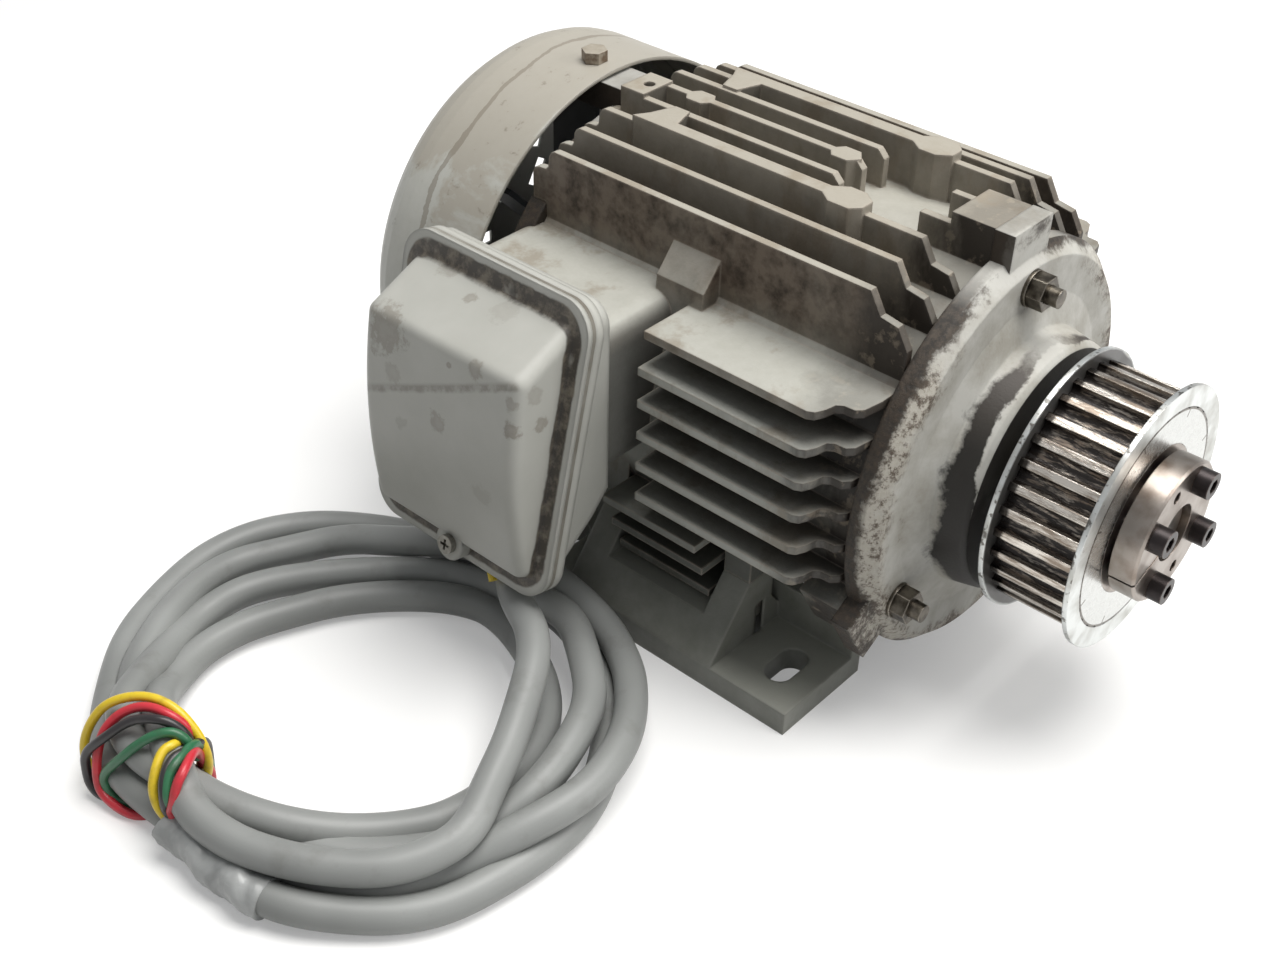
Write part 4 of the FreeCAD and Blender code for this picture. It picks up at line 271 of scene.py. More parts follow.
def tape_centre(y):
    """The tape's middle line, x and z at a place along it."""
    for (x0, y0, z0), (x1, y1, z1) in zip(TAPE_LINE, TAPE_LINE[1:]):
        if y <= y1 * MM or y1 == TAPE_LINE[-1][1]:
            share = min(max((y / MM - y0) / (y1 - y0), 0.0), 1.0)
            return (x0 + share * (x1 - x0)) * MM, (z0 + share * (z1 - z0)) * MM


tape = cord_curve("cable_tape_wrap", TAPE_LINE, 2 * TAPE_RADIUS, sides=10)
tape.data.resolution_u = 24
tape = as_mesh(tape)
tape_start, tape_end = TAPE_LINE[0][1] * MM, TAPE_LINE[-1][1] * MM
for corner in tape.data.vertices:
    x, z = tape_centre(corner.co.y)
    side, rise = corner.co.x - x, corner.co.z - z
    turn = math.atan2(rise, side) / math.tau
    run = corner.co.y - tape_start
    along = run / (tape_end - tape_start)
    lap = ((run / LAP_PITCH + turn) % 1.0) * TAPE_LAP
    crease = sum(height * math.sin(angle * along + waves * turn * math.tau + start)
                 for height, angle, waves, start in CREASES)
    flat = max(0.0, (along - FLAT_FROM) / (1.0 - FLAT_FROM))
    scale = 1.0 + (lap + crease) / TAPE_RADIUS
    corner.co.x = x + side * scale * (1.0 + FLAT_WIDER * flat)
    corner.co.z = max(z + rise * scale * (1.0 - FLAT_LOWER * flat), TAPE_LOWEST)
bpy.ops.object.shade_smooth_by_angle(angle=SHARP_FOLD)

# Aged PVC tape: grey with a silvery face, shiny on the pressed creases and grubby in the laps.
# Worn patches are about 11 mm across and crinkles 5 mm.
silver, tree, shader, place = shaded("silver_grey_tape", roughness=0.36, specular=0.55)
fold = add(tree, "TexNoise", {"Vector": place, "Scale": 1 / 0.011, "Detail": 3.0, "Distortion": 0.6})
worn = add(tree, "MapRange", {"Value": fold, "From Min": 0.35, "From Max": 0.68})
shade = add(tree, "Mix", {0: worn, 6: linear("#868887"), 7: linear("#a4a6a5")})
crinkle = add(tree, "TexNoise", {"Vector": place, "Scale": 1 / 0.005, "Detail": 2.0, "Distortion": 1.2})
skin = add(tree, "Bump", {"Height": crinkle, "Strength": 0.4, "Distance": 0.0006})
plug(shader, {"Base Color": shade, "Normal": skin})
tape.data.materials.append(silver)
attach(tape, "stator")
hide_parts("cable_tape")

# Coloured wires
# The four cores of the cable, 3 mm PVC-insulated wires. Each leaves the tape, goes once and a half
# round the bundle of turns and is tucked in at the inner side, so they tie the coil together.
WIRE_DIAMETER = 0.003
WIRES = {
    "yellow_wire": ("#dcbf2c", 0.175, [
        (-241.8, 37, 11), (-243.5, 42, 14), (-243.1, 45.6, 19.7), (-240.9, 47.4, 24.1),
        (-234.8, 51, 27.9), (-230.7, 50.1, 28.3), (-219.7, 55, 22.1), (-219.3, 56, 15.2),
        (-219.2, 56.9, 6.5), (-221.6, 58.6, 1.9), (-231, 63.4, 1.9), (-240.1, 72.9, 1.9),
        (-243.6, 81.6, 3.6), (-243.1, 83.9, 12.5), (-239.5, 82.7, 21.2), (-234, 79.4, 28.5),
        (-226.5, 70.5, 32.1), (-222.7, 60.3, 31.2), (-221.8, 50.7, 25), (-221.7, 47.4, 14.8),
        (-222.4, 51, 6)]),
    "red_wire": ("#c4303c", 0.160, [
        (-241.5, 37.5, 11.5), (-241.9, 40, 15.5), (-241.6, 37.8, 19.9), (-239, 38.6, 25.3),
        (-234.7, 39.7, 28.3), (-226.8, 46.2, 26), (-223.2, 50, 17.5), (-220, 50.4, 7.5),
        (-222.2, 50, 1.9), (-232.1, 52.1, 1.9), (-241.5, 54.8, 1.9), (-245.6, 59.9, 2.2),
        (-246.9, 70.1, 4.1), (-246.2, 72.7, 9.2), (-243.8, 74.0, 16.6), (-239.6, 75.2, 23.1),
        (-233.9, 72.4, 28.8), (-228.7, 66.3, 32), (-225.8, 57.9, 31.4), (-223.6, 53.7, 27.6),
        (-222.1, 51.3, 18.9), (-222.1, 52.3, 11)]),
    "black_wire": ("#2b282a", 0.156, [
        (-242, 37.5, 12), (-242.2, 41.5, 15), (-242.9, 40.2, 20.5), (-239.9, 43.7, 25.8),
        (-234.3, 46, 28.4), (-230.4, 45.6, 27.7), (-219.2, 51.8, 21.2), (-219.3, 51.9, 12.9),
        (-219.2, 53, 5.6), (-222.1, 54.2, 1.9), (-232, 57.7, 1.9), (-241.2, 63.8, 1.9),
        (-246.6, 70.6, 2.4), (-247.4, 75.3, 4.7), (-246.6, 77.6, 9.1), (-245.7, 77.8, 16.5),
        (-241.3, 71.4, 24.1), (-234.5, 67.2, 29.2), (-230.9, 59.7, 32.6), (-227.5, 54.8, 31.4),
        (-225.3, 50.6, 27.1), (-224.2, 50.3, 18)]),
    "green_wire": ("#2f6a48", 0.142, [
        (-241, 38, 10.5), (-241.2, 41.5, 14.5), (-242.5, 39.6, 21.2), (-238.7, 42.8, 26.4),
        (-234.2, 43.7, 28.6), (-225, 48.4, 26.4), (-220.6, 51.4, 17), (-219.4, 51.6, 7),
        (-222.1, 51.7, 1.9), (-232.2, 55.4, 1.9), (-240.6, 59.8, 1.9), (-244.4, 65.9, 2.2),
        (-245.2, 69.7, 5.7), (-245.1, 70.7, 11.6), (-241.5, 63.9, 20.5), (-237.8, 60.3, 25.6),
        (-233, 56.1, 30), (-228.7, 52.4, 30.5), (-226.7, 48.2, 27.2), (-224.7, 49.5, 18.5)]),
}
for label, (colour, length, points) in WIRES.items():
    wire = cord_curve(label, points, WIRE_DIAMETER, sides=4)
    # Coloured PVC insulation: smooth and slightly shiny, handled until it is a little uneven.
    # Handling marks are about 5 mm apart.
    insulation, tree, shader, place = shaded(label + "_pvc")
    marks = add(tree, "TexNoise", {"Vector": place, "Scale": 1 / 0.005, "Detail": 3.0})
    dark = add(tree, "MapRange", {"Value": marks, "From Min": 0.5, "From Max": 0.8, "To Max": 0.45})
    tone = add(tree, "Mix", {0: dark, 6: linear(colour), 7: linear("#3a342c")})
    gloss = add(tree, "MapRange", {"Value": marks, "To Min": 0.25, "To Max": 0.45})
    plug(shader, {"Base Color": tone, "Roughness": gloss})
    wire.data.materials.append(insulation)
    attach(wire, "stator")
    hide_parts("wire_wrap")

# Yellow core at the box
# A short bit of the yellow core that has slipped out of the sheath where the cable enters the terminal box.
# It lies along the sheath and has the insulation of the yellow wire.
CORE_LINE = [(-111.5, 37, 48), (-114.5, 36, 42.5), (-117.5, 32.8, 37.8), (-119.4, 29.4, 34.6)]
core = as_mesh(cord_curve("yellow_core_end", CORE_LINE, WIRE_DIAMETER, sides=4))
core.data.materials.append(bpy.data.materials["yellow_wire_pvc"])
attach(core, "stator")

# Motor frame
# One aluminium casting: barrel, upright top fins, level side fins and the seat of the terminal box.
# It is sprayed grey. Oil and dust have dried on it brown, darkest towards the belt. Fin edges are rubbed.


def dress(material, *names):
    """Gives CAD nodes their finish."""
    for name in names:
        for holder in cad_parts[name].material_slots:
            holder.material = material


def rubbed_edges(tree, rounded):
    """A mask that is one on sharp edges, where the rounded normal turns away from the face's own."""
    face = add(tree, "NewGeometry")
    same = add(tree, "VectorMath", {0: rounded, 1: face.outputs["True Normal"]}, operation="DOT_PRODUCT")
    return add(tree, "MapRange", {"Value": same, "From Min": 0.985, "From Max": 0.86})


def facing(tree):
    """How far the surface faces along x, y and z, from -1 to 1."""
    surface = add(tree, "NewGeometry")
    return add(tree, "SeparateXYZ", {0: surface.outputs["Normal"]}).outputs


def ragged(tree, distance, wanders, start, end, least=0.0, most=1.0):
    """A mask that grows from start to end of a distance, after each noise or slope is added by its reach."""
    for noise, reach in wanders:
        distance = add(tree, "Math", {0: noise, 1: reach, 2: distance}, operation="MULTIPLY_ADD")
    return add(tree, "MapRange", {"Value": distance, "From Min": start, "From Max": end,
                                  "To Min": least, "To Max": most})


# Grey stoving paint on cast aluminium: satin, with the sand-cast skin under it. Oil has run down the
# upright fins in stains about 24 mm long. Dust patches are 7 mm and grit 1 mm across.
paint, tree, shader, place = shaded("grey_paint_on_casting", specular=0.3)
rounded = add(tree, "Bevel", {"Radius": 0.0012}, samples=4)
rubbed = rubbed_edges(tree, rounded)
x, y, z = add(tree, "SeparateXYZ", {0: place}).outputs
_, facing_y, facing_z = facing(tree)
runs = add(tree, "Mapping", {"Vector": place, "Scale": (1.0, 1.0, 0.45)})
stain = add(tree, "TexNoise", {"Vector": runs, "Scale": 1 / 0.024, "Detail": 6.0, "Roughness": 0.65})
dust = add(tree, "TexNoise", {"Vector": place, "Scale": 1 / 0.007, "Detail": 5.0, "Roughness": 0.65})
grit = add(tree, "TexNoise", {"Vector": place, "Scale": 1 / 0.0010, "Detail": 2.0})
nook = add(tree, "AmbientOcclusion", {"Distance": 0.018}, samples=8)
tone = add(tree, "Mix", {0: dust, 6: linear("#b6b7b1"), 7: linear("#999a92")})
old = add(tree, "MapRange", {"Value": stain, "From Min": 0.52, "From Max": 0.62, "To Max": 0.6})
# Dried oil on the steep sides of the top fins, in patches; it is thinner on the inner fins as painted light,
# which lightens the gaps between them
high = add(tree, "MapRange", {"Value": z, "From Min": 0.114, "From Max": 0.132})
steep = add(tree, "MapRange", {"Value": facing_z, "From Min": 0.35, "From Max": 0.85,
                               "To Min": 1.0, "To Max": 0.0})
patchy = add(tree, "MapRange", {"Value": stain, "From Min": 0.36, "From Max": 0.56,
                                "To Min": 0.8, "To Max": 1.0})
inner_fin_lightening = add(tree, "Math", {0: x}, operation="ABSOLUTE")
inner_fin_lightening = add(tree, "MapRange", {"Value": inner_fin_lightening, "From Min": 0.040, "From Max": 0.046,
                               "To Min": 0.3, "To Max": 1.0})
film = high
for mask in (steep, patchy, inner_fin_lightening):
    film = add(tree, "Math", {0: film, 1: mask}, operation="MULTIPLY")
blot = add(tree, "MapRange", {"Value": dust, "From Min": 0.42, "From Max": 0.66})
oily = add(tree, "Mix", {0: blot, 6: linear("#6e6256"), 7: linear("#3a3027")})
# Brown dust among the top fins and on their crests
dusty = add(tree, "Math", {0: high, 1: 0.55}, operation="MULTIPLY")
crest = add(tree, "MapRange", {"Value": z, "From Min": 0.148, "From Max": 0.152,
                               "To Min": 0.5, "To Max": 1.0})
crest = add(tree, "Math", {0: crest, 1: steep}, operation="MAXIMUM")
dusty = add(tree, "Math", {0: dusty, 1: crest}, operation="MULTIPLY")
# Painted shade with dirt in the nooks, but little between the open top fins
nook_shade_and_dirt = add(tree, "MapRange", {"Value": nook.outputs["AO"], "From Min": 0.70, "From Max": 0.22,
                              "To Max": 0.85})
open_top = add(tree, "MapRange", {"Value": high, "To Min": 1.0, "To Max": 0.12})
nook_shade_and_dirt = add(tree, "Math", {0: nook_shade_and_dirt, 1: open_top}, operation="MULTIPLY")
# Painted shade on the low side fins, under the upper ones
low_fin_shade = add(tree, "MapRange", {"Value": z, "From Min": 0.062, "From Max": 0.042, "To Max": 0.8})
# Painted shade on the front of the box's seat, between it and the fins
seat_shade = add(tree, "MapRange", {"Value": facing_y, "From Min": -0.5, "From Max": -0.9, "To Max": 0.7})
rear_shade = add(tree, "MapRange", {"Value": y, "From Min": 0.003, "From Max": 0.008})
seat_shade = add(tree, "Math", {0: seat_shade, 1: rear_shade}, operation="MULTIPLY")
# Paint rubbed thin on the edges
worn = add(tree, "MapRange", {"Value": dust, "From Min": 0.3, "From Max": 0.6,
                              "To Min": 0.9, "To Max": 0.45})
worn = add(tree, "Math", {0: rubbed, 1: worn}, operation="MULTIPLY")
# Grime that the belt has thrown, which clings to steep sides
belt = ragged(tree, y, [(stain, 0.05)], -0.024, -0.038, most=0.92)
clings = add(tree, "MapRange", {"Value": steep, "To Min": 0.45, "To Max": 1.0})
belt = add(tree, "Math", {0: belt, 1: clings}, operation="MULTIPLY")
caked = add(tree, "MapRange", {"Value": dust, "From Min": 0.56, "From Max": 0.64})
grime = add(tree, "Mix", {0: caked, 6: linear("#2a241f"), 7: linear("#6f6558")})
# The coats of dirt and the painted shade over the paint, from the first to the last
for mask, colour in ((old, linear("#7d7364")), (dusty, linear("#8e8270")), (film, oily),
                     (nook_shade_and_dirt, linear("#352e27")), (low_fin_shade, linear("#41423d")), (seat_shade, linear("#3b3935")),
                     (worn, linear("#b0a597")), (belt, grime)):
    tone = add(tree, "Mix", {0: mask, 6: tone, 7: colour})
gloss = add(tree, "MapRange", {"Value": dust, "From Min": 0.3, "From Max": 0.7,
                               "To Min": 0.36, "To Max": 0.6})
rough = add(tree, "Math", {0: grit, 1: 0.3, 2: dust}, operation="MULTIPLY_ADD")
skin = add(tree, "Bump", {"Height": rough, "Normal": rounded, "Strength": 0.3, "Distance": 0.0007})
plug(shader, {"Base Color": tone, "Roughness": gloss, "Normal": skin})
dress(paint, "stator_frame")

# Feet
# Two cast feet with slotted pads, bolted under the barrel. They have the frame's grey paint, made darker
# here as painted shade, paler on the faces that face up and scuffed along the edges. Dust patches are 12 mm
# and grit 1.2 mm across.
foot_paint, tree, shader, place = shaded("shaded_grey_paint_on_casting")
rounded = add(tree, "Bevel", {"Radius": 0.0015}, samples=4)
rubbed = rubbed_edges(tree, rounded)
dust = add(tree, "TexNoise", {"Vector": place, "Scale": 1 / 0.012, "Detail": 5.0, "Roughness": 0.6})
grit = add(tree, "TexNoise", {"Vector": place, "Scale": 1 / 0.0012, "Detail": 2.0})
shade = add(tree, "MapRange", {"Value": dust, "From Min": 0.3, "From Max": 0.7})
# The frame's grey made darker, as painted shade
tone = add(tree, "Mix", {0: shade, 6: linear("#84857e"), 7: linear("#707169")})
_, _, facing_z = facing(tree)
# Paler on the faces that face up
top = add(tree, "MapRange", {"Value": facing_z, "From Min": 0.7, "From Max": 0.95, "To Max": 0.6})
tone = add(tree, "Mix", {0: top, 6: tone, 7: linear("#a8a9a0")})
worn = add(tree, "Math", {0: rubbed, 1: 0.5}, operation="MULTIPLY")
tone = add(tree, "Mix", {0: worn, 6: tone, 7: linear("#a5a59c")})
skin = add(tree, "Bump", {"Height": grit, "Normal": rounded, "Strength": 0.25, "Distance": 0.0004})
plug(shader, {"Base Color": tone, "Normal": skin})
dress(foot_paint, "left_foot", "right_foot")

# Inner pieces
# Laminated stator and rotor, varnished copper winding, cast cage, leads, bearings, seals and fan.
# They show only through gaps, so each has one plain worked finish, listed with its two tones, metallic,
# roughness, grain size and pieces.
INNER_FINISHES = [
    ("punched_lamination_steel", "#6d6c6a", "#4f4d4a", 1.0, 0.45, 0.0008, ("stator_core", "rotor_core")),
    ("varnished_copper_wire", "#a9622f", "#6f3a1c", 0.0, 0.35, 0.0012, ("stator_winding",)),
    ("lead_insulation", "#b9b4a4", "#8f8a7c", 0.0, 0.5, 0.003, ("stator_leads",)),
    ("cast_cage_aluminium", "#b4b5b6", "#8f9091", 1.0, 0.5, 0.003, ("rotor_cage",)),
    ("ground_shaft_steel", "#8f8c88", "#6a645e", 1.0, 0.3, 0.004, ("shaft",)),
    ("polished_bearing_steel", "#b9babb", "#9a9a9b", 1.0, 0.18, 0.002,
     ("drive_bearing_outer_ring", "drive_bearing_inner_ring", "drive_bearing_balls", "drive_bearing_cage",
      "fan_bearing_outer_ring", "fan_bearing_inner_ring", "fan_bearing_balls", "fan_bearing_cage",
      "preload_washer", "fan_clip")),
    ("nitrile_rubber", "#232323", "#333331", 0.0, 0.6, 0.002,
     ("shaft_seal", "seat_gasket", "cable_grommet")),
    ("painted_over_rubber", "#85837b", "#5f5a50", 0.0, 0.6, 0.003, ("lid_gasket",)),
    ("moulded_nylon", "#2f3133", "#3d3f40", 0.0, 0.45, 0.003, ("cooling_fan",)),
    ("moulded_phenolic", "#3a2c24", "#4a3a30", 0.0, 0.4, 0.002, ("terminal_block",)),
    ("drawn_brass", "#b1904a", "#8a6c33", 1.0, 0.35, 0.002, ("terminal_studs", "terminal_nuts")),
    ("zinc_plated_steel", "#a5a49d", "#7f7a6e", 1.0, 0.4, 0.003,
     ("foot_screws", "earth_screw", "box_base_screws")),
]
CLOUD_TO_GRAIN = 6
for label, light, dark, metallic, roughness, grain_size, names in INNER_FINISHES:
    finish, tree, shader, place = shaded(label, roughness=roughness, metallic=metallic)
    cloud = add(tree, "TexNoise", {"Vector": place, "Scale": 1 / (CLOUD_TO_GRAIN * grain_size),
                                   "Detail": 4.0})
    mask = add(tree, "MapRange", {"Value": cloud, "From Min": 0.35, "From Max": 0.7})
    tone = add(tree, "Mix", {0: mask, 6: linear(light), 7: linear(dark)})
    grain = add(tree, "TexNoise", {"Vector": place, "Scale": 1 / grain_size, "Detail": 2.0})
    skin = add(tree, "Bump", {"Height": grain, "Strength": 0.2, "Distance": 0.0002})
    plug(shader, {"Base Color": tone, "Normal": skin})
    dress(finish, *names)

# End shields
# Cast covers that carry the bearings, pulled onto the frame by three tie bolts. The drive-end one is pale
# grey, crusted with dried dirt on its rim and black with grease round its hub.
SHAFT_HEIGHT = 0.08


def about_shaft(tree, place):
    """The arm from the shaft's axis to a point, square to the axis, and its length."""
    arm = add(tree, "Mapping", {"Vector": place, "Location": (0.0, 0.0, -SHAFT_HEIGHT),
                                "Scale": (1.0, 0.0, 1.0)})
    return arm, add(tree, "VectorMath", {0: arm}, operation="LENGTH")


# Pale grey paint on cast aluminium: satin, under stains of about 20 mm, flakes of 2.4 mm and grit of 1 mm.
shield_paint, tree, shader, place = shaded("pale_grey_paint_on_casting", specular=0.3)
rounded = add(tree, "Bevel", {"Radius": 0.0012}, samples=4)
_, radius = about_shaft(tree, place)
x, y, z = add(tree, "SeparateXYZ", {0: place}).outputs
facing_x, facing_y, facing_z = facing(tree)
stain = add(tree, "TexNoise", {"Vector": place, "Scale": 1 / 0.020, "Detail": 6.0, "Roughness": 0.65})
flake = add(tree, "TexNoise", {"Vector": place, "Scale": 1 / 0.0024, "Detail": 6.0, "Roughness": 0.78})
grit = add(tree, "TexNoise", {"Vector": place, "Scale": 1 / 0.0010, "Detail": 2.0})
shade = add(tree, "MapRange", {"Value": stain, "From Min": 0.40, "From Max": 0.64})
tone = add(tree, "Mix", {0: shade, 6: linear("#b3b2ac"), 7: linear("#97948b")})
# The rim: a beige crust with fine dark flecks, in patches, and black-brown dirt towards the frame
rim = ragged(tree, radius, [(stain, 0.022)], 0.0725, 0.0765)
clean = add(tree, "MapRange", {"Value": z, "From Min": 0.138, "From Max": 0.128})
rim = add(tree, "Math", {0: rim, 1: clean}, operation="MULTIPLY")
fleck = add(tree, "Math", {0: stain, 1: 0.6, 2: flake}, operation="MULTIPLY_ADD")
fleck = add(tree, "MapRange", {"Value": fleck, "From Min": 0.76, "From Max": 0.87})
crust = add(tree, "Mix", {0: grit, 6: linear("#9f9a8f"), 7: linear("#b7b3a9")})
crust = add(tree, "Mix", {0: fleck, 6: crust, 7: linear("#5b5147")})
behind = ragged(tree, y, [(stain, 0.016), (flake, 0.006)], -0.0686, -0.0662, most=0.96)
upper = add(tree, "MapRange", {"Value": z, "From Min": 0.132, "From Max": 0.138})
flat = add(tree, "MapRange", {"Value": facing_z, "From Min": 0.90, "From Max": 0.97})
flat = add(tree, "Math", {0: flat, 1: upper}, operation="MULTIPLY")
flat = add(tree, "MapRange", {"Value": flat, "To Min": 1.0, "To Max": 0.3})
behind = add(tree, "Math", {0: behind, 1: flat}, operation="MULTIPLY")
uneven = add(tree, "MapRange", {"Value": flake, "From Min": 0.42, "From Max": 0.62})
soot = add(tree, "Mix", {0: uneven, 6: linear("#211c18"), 7: linear("#453c33")})
# Darker on the faces of the shield's upper part that face -x
flank = add(tree, "MapRange", {"Value": facing_x, "From Min": -0.6, "From Max": -0.9, "To Max": 0.85})
flank = add(tree, "Math", {0: flank, 1: upper}, operation="MULTIPLY")
# The hub: a band of belt grease round its sides, thin and browner on the crown, that stops short of the
# front edge. Its back limit slants with x and its front one with z. The front face is black.
grease = ragged(tree, y, [(x, 0.06), (stain, 0.014), (flake, -0.002)], -0.0816, -0.0836, most=0.97)
lip = ragged(tree, y, [(z, -0.09), (stain, 0.012)], -0.0981, -0.0974)
grease = add(tree, "Math", {0: grease, 1: lip}, operation="MULTIPLY")
crown = add(tree, "Math", {0: x}, operation="ABSOLUTE")
crown = ragged(tree, crown, [(flake, 0.012)], 0.010, 0.021, least=0.2)
grease = add(tree, "Math", {0: grease, 1: crown}, operation="MULTIPLY")
brown = add(tree, "MapRange", {"Value": z, "From Min": 0.104, "From Max": 0.122})
thick = add(tree, "Mix", {0: brown, 6: linear("#15120f"), 7: linear("#332c26")})
front = add(tree, "MapRange", {"Value": facing_y, "From Min": -0.80, "From Max": -0.95, "To Max": 0.94})
hub = add(tree, "MapRange", {"Value": y, "From Min": -0.0940, "From Max": -0.0950})
front = add(tree, "Math", {0: front, 1: hub}, operation="MULTIPLY")
# The layers over the paint, from the first to the last
for mask, colour in ((rim, crust), (behind, soot), (flank, linear("#3a322a")), (grease, thick),
                     (front, linear("#17130f"))):
    tone = add(tree, "Mix", {0: mask, 6: tone, 7: colour})
scale = add(tree, "Math", {0: flake, 1: rim}, operation="MULTIPLY")
rough = add(tree, "Math", {0: grit, 1: 0.12, 2: scale}, operation="MULTIPLY_ADD")
skin = add(tree, "Bump", {"Height": rough, "Normal": rounded, "Strength": 0.45, "Distance": 0.0012})
plug(shader, {"Base Color": tone, "Normal": skin})
dress(shield_paint, "drive_end_shield", "fan_end_shield")

# Tie bolts, washers and nuts
# Three long studs through the frame with hexagon nuts on washers, once zinc plated
# and now dark with oil, with bare metal on the corners. Oil blots are about 4 mm across.
greasy, tree, shader, place = shaded("oily_plated_steel", roughness=0.38, metallic=1.0)
rounded = add(tree, "Bevel", {"Radius": 0.0006}, samples=4)
rubbed = rubbed_edges(tree, rounded)
oil = add(tree, "TexNoise", {"Vector": place, "Scale": 1 / 0.004, "Detail": 4.0})
mask = add(tree, "MapRange", {"Value": oil, "From Min": 0.35, "From Max": 0.65})
tone = add(tree, "Mix", {0: mask, 6: linear("#756f65"), 7: linear("#38332c")})
tone = add(tree, "Mix", {0: rubbed, 6: tone, 7: linear("#969086")})
skin = add(tree, "Bump", {"Height": oil, "Normal": rounded, "Strength": 0.25, "Distance": 0.0004})
plug(shader, {"Base Color": tone, "Normal": skin})
dress(greasy, "tie_bolts", "tie_washers", "tie_nuts")

# Fan cowl and its screws
# A drawn sheet-steel hood over the fan with a pierced back, held by three hexagon screws. Its grey paint
# has beige wiped dirt, with one dark line round it, and the screws are rusty.
# Stains are about 32 mm and specks 6 mm across.
RING_PLACE, RING_HALF = 0.1155, 0.0009
cowl_paint, tree, shader, place = shaded("grey_paint_on_sheet", roughness=0.42)
rounded = add(tree, "Bevel", {"Radius": 0.0010}, samples=4)
_, y, z = add(tree, "SeparateXYZ", {0: place}).outputs
stain = add(tree, "TexNoise", {"Vector": place, "Scale": 1 / 0.032, "Detail": 6.0, "Roughness": 0.6,
                               "Distortion": 0.5})
speck = add(tree, "TexNoise", {"Vector": place, "Scale": 1 / 0.006, "Detail": 5.0, "Roughness": 0.7})
wash = ragged(tree, z, [(stain, 0.12)], 0.184, 0.192, most=0.6)
tone = add(tree, "Mix", {0: speck, 6: linear("#b4b4ae"), 7: linear("#a3a39b")})
ring = add(tree, "Math", {0: stain, 1: 0.010, 2: y}, operation="MULTIPLY_ADD")
ring = add(tree, "Math", {0: ring, 1: RING_PLACE, 2: RING_HALF}, operation="COMPARE")
ring = add(tree, "Math", {0: ring, 1: 0.55}, operation="MULTIPLY")
spot = add(tree, "MapRange", {"Value": speck, "From Min": 0.62, "From Max": 0.70, "To Max": 0.55})
for mask, colour in ((wash, "#938b7d"), (ring, "#6c6355"), (spot, "#675e50")):
    tone = add(tree, "Mix", {0: mask, 6: tone, 7: linear(colour)})
skin = add(tree, "Bump", {"Height": speck, "Normal": rounded, "Strength": 0.1, "Distance": 0.0004})
plug(shader, {"Base Color": tone, "Normal": skin})
dress(cowl_paint, "fan_cowl")

# Zinc-plated hexagon screws: pale on the wrench-worn head, brown with rust on the flanks. Blooms are 3 mm.
rusty, tree, shader, place = shaded("rusted_plated_screw", roughness=0.45, metallic=0.4)
rounded = add(tree, "Bevel", {"Radius": 0.0005}, samples=4)
arm, _ = about_shaft(tree, place)
outward = add(tree, "VectorMath", {0: arm}, operation="NORMALIZE")
surface = add(tree, "NewGeometry")
head = add(tree, "VectorMath", {0: outward, 1: surface.outputs["Normal"]}, operation="DOT_PRODUCT")
bloom = add(tree, "TexNoise", {"Vector": place, "Scale": 1 / 0.003, "Detail": 4.0})
flank = add(tree, "MapRange", {"Value": head, "From Min": 0.9, "From Max": 0.5})
bloom_mask = add(tree, "MapRange", {"Value": bloom, "From Min": 0.35, "From Max": 0.6,
                                    "To Min": 0.25, "To Max": 0.9})
rust = add(tree, "Math", {0: flank, 1: bloom_mask}, operation="MULTIPLY")
tone = add(tree, "Mix", {0: bloom, 6: linear("#b9b2a4"), 7: linear("#8d8474")})
tone = add(tree, "Mix", {0: rust, 6: tone, 7: linear("#5f4a37")})
skin = add(tree, "Bump", {"Height": bloom, "Normal": rounded, "Strength": 0.3, "Distance": 0.0004})
plug(shader, {"Base Color": tone, "Normal": skin})
dress(rusty, "cowl_screws")

# Terminal box
# Base and domed lid pressed from sheet steel, screwed to the seat on the frame's side, with one small screw
# in the lid. Grey paint, made darker towards the bottom as painted shade, with brown stains and a strip of
# caked dirt on the flange round the dome. Drips are about 20 mm and specks 5 mm across.
TIDE_SLOPE, TIDE_LEVEL = 0.437, 0.1273
# The lid's flange: the middle of its foot, its outward and upward directions, the height of its middle,
# its half height and half width, and its corner radius
RIM_FOOT, RIM_OUT, RIM_UP = (-0.1201, 0.044, 0.0394), (-0.97488, 0.0, 0.22274), (0.22274, 0.0, 0.97488)
RIM_MIDDLE, RIM_HALF, RIM_HALF_WIDE, RIM_ROUND = 0.051, 0.051, 0.040, 0.013
# Stains on the lid: place, radius and strength
LID_STAINS = [((-0.1248, 0.0679, 0.1167), 0.0085, 0.50), ((-0.1276, 0.0430, 0.0952), 0.0036, 0.45),
              ((-0.1160, 0.0100, 0.1046), 0.0032, 0.55), ((-0.1178, 0.0100, 0.1159), 0.0035, 0.30),
              ((-0.1064, 0.0336, 0.1296), 0.0050, 0.18), ((-0.1075, 0.0476, 0.1291), 0.0024, 0.45),
              ((-0.1274, 0.0600, 0.0870), 0.0030, 0.25), ((-0.1268, 0.0240, 0.0780), 0.0045, 0.22),
              ((-0.1259, 0.0121, 0.1066), 0.0030, 0.60), ((-0.1250, 0.0127, 0.1147), 0.0026, 0.40),
              ((-0.1268, 0.0633, 0.1039), 0.0040, 0.30), ((-0.1243, 0.0284, 0.1197), 0.0034, 0.45),
              ((-0.1248, 0.0391, 0.1169), 0.0012, 0.55), ((-0.1008, 0.0625, 0.1329), 0.0060, 0.35)]
box_paint, tree, shader, place = shaded("grey_paint_on_pressing", roughness=0.4, specular=0.4)
rounded = add(tree, "Bevel", {"Radius": 0.0030}, samples=4)
x, y, z = add(tree, "SeparateXYZ", {0: place}).outputs
drip = add(tree, "TexNoise", {"Vector": place, "Scale": 1 / 0.020, "Detail": 4.0, "Roughness": 0.55})
speck = add(tree, "TexNoise", {"Vector": place, "Scale": 1 / 0.005, "Detail": 5.0, "Roughness": 0.7})
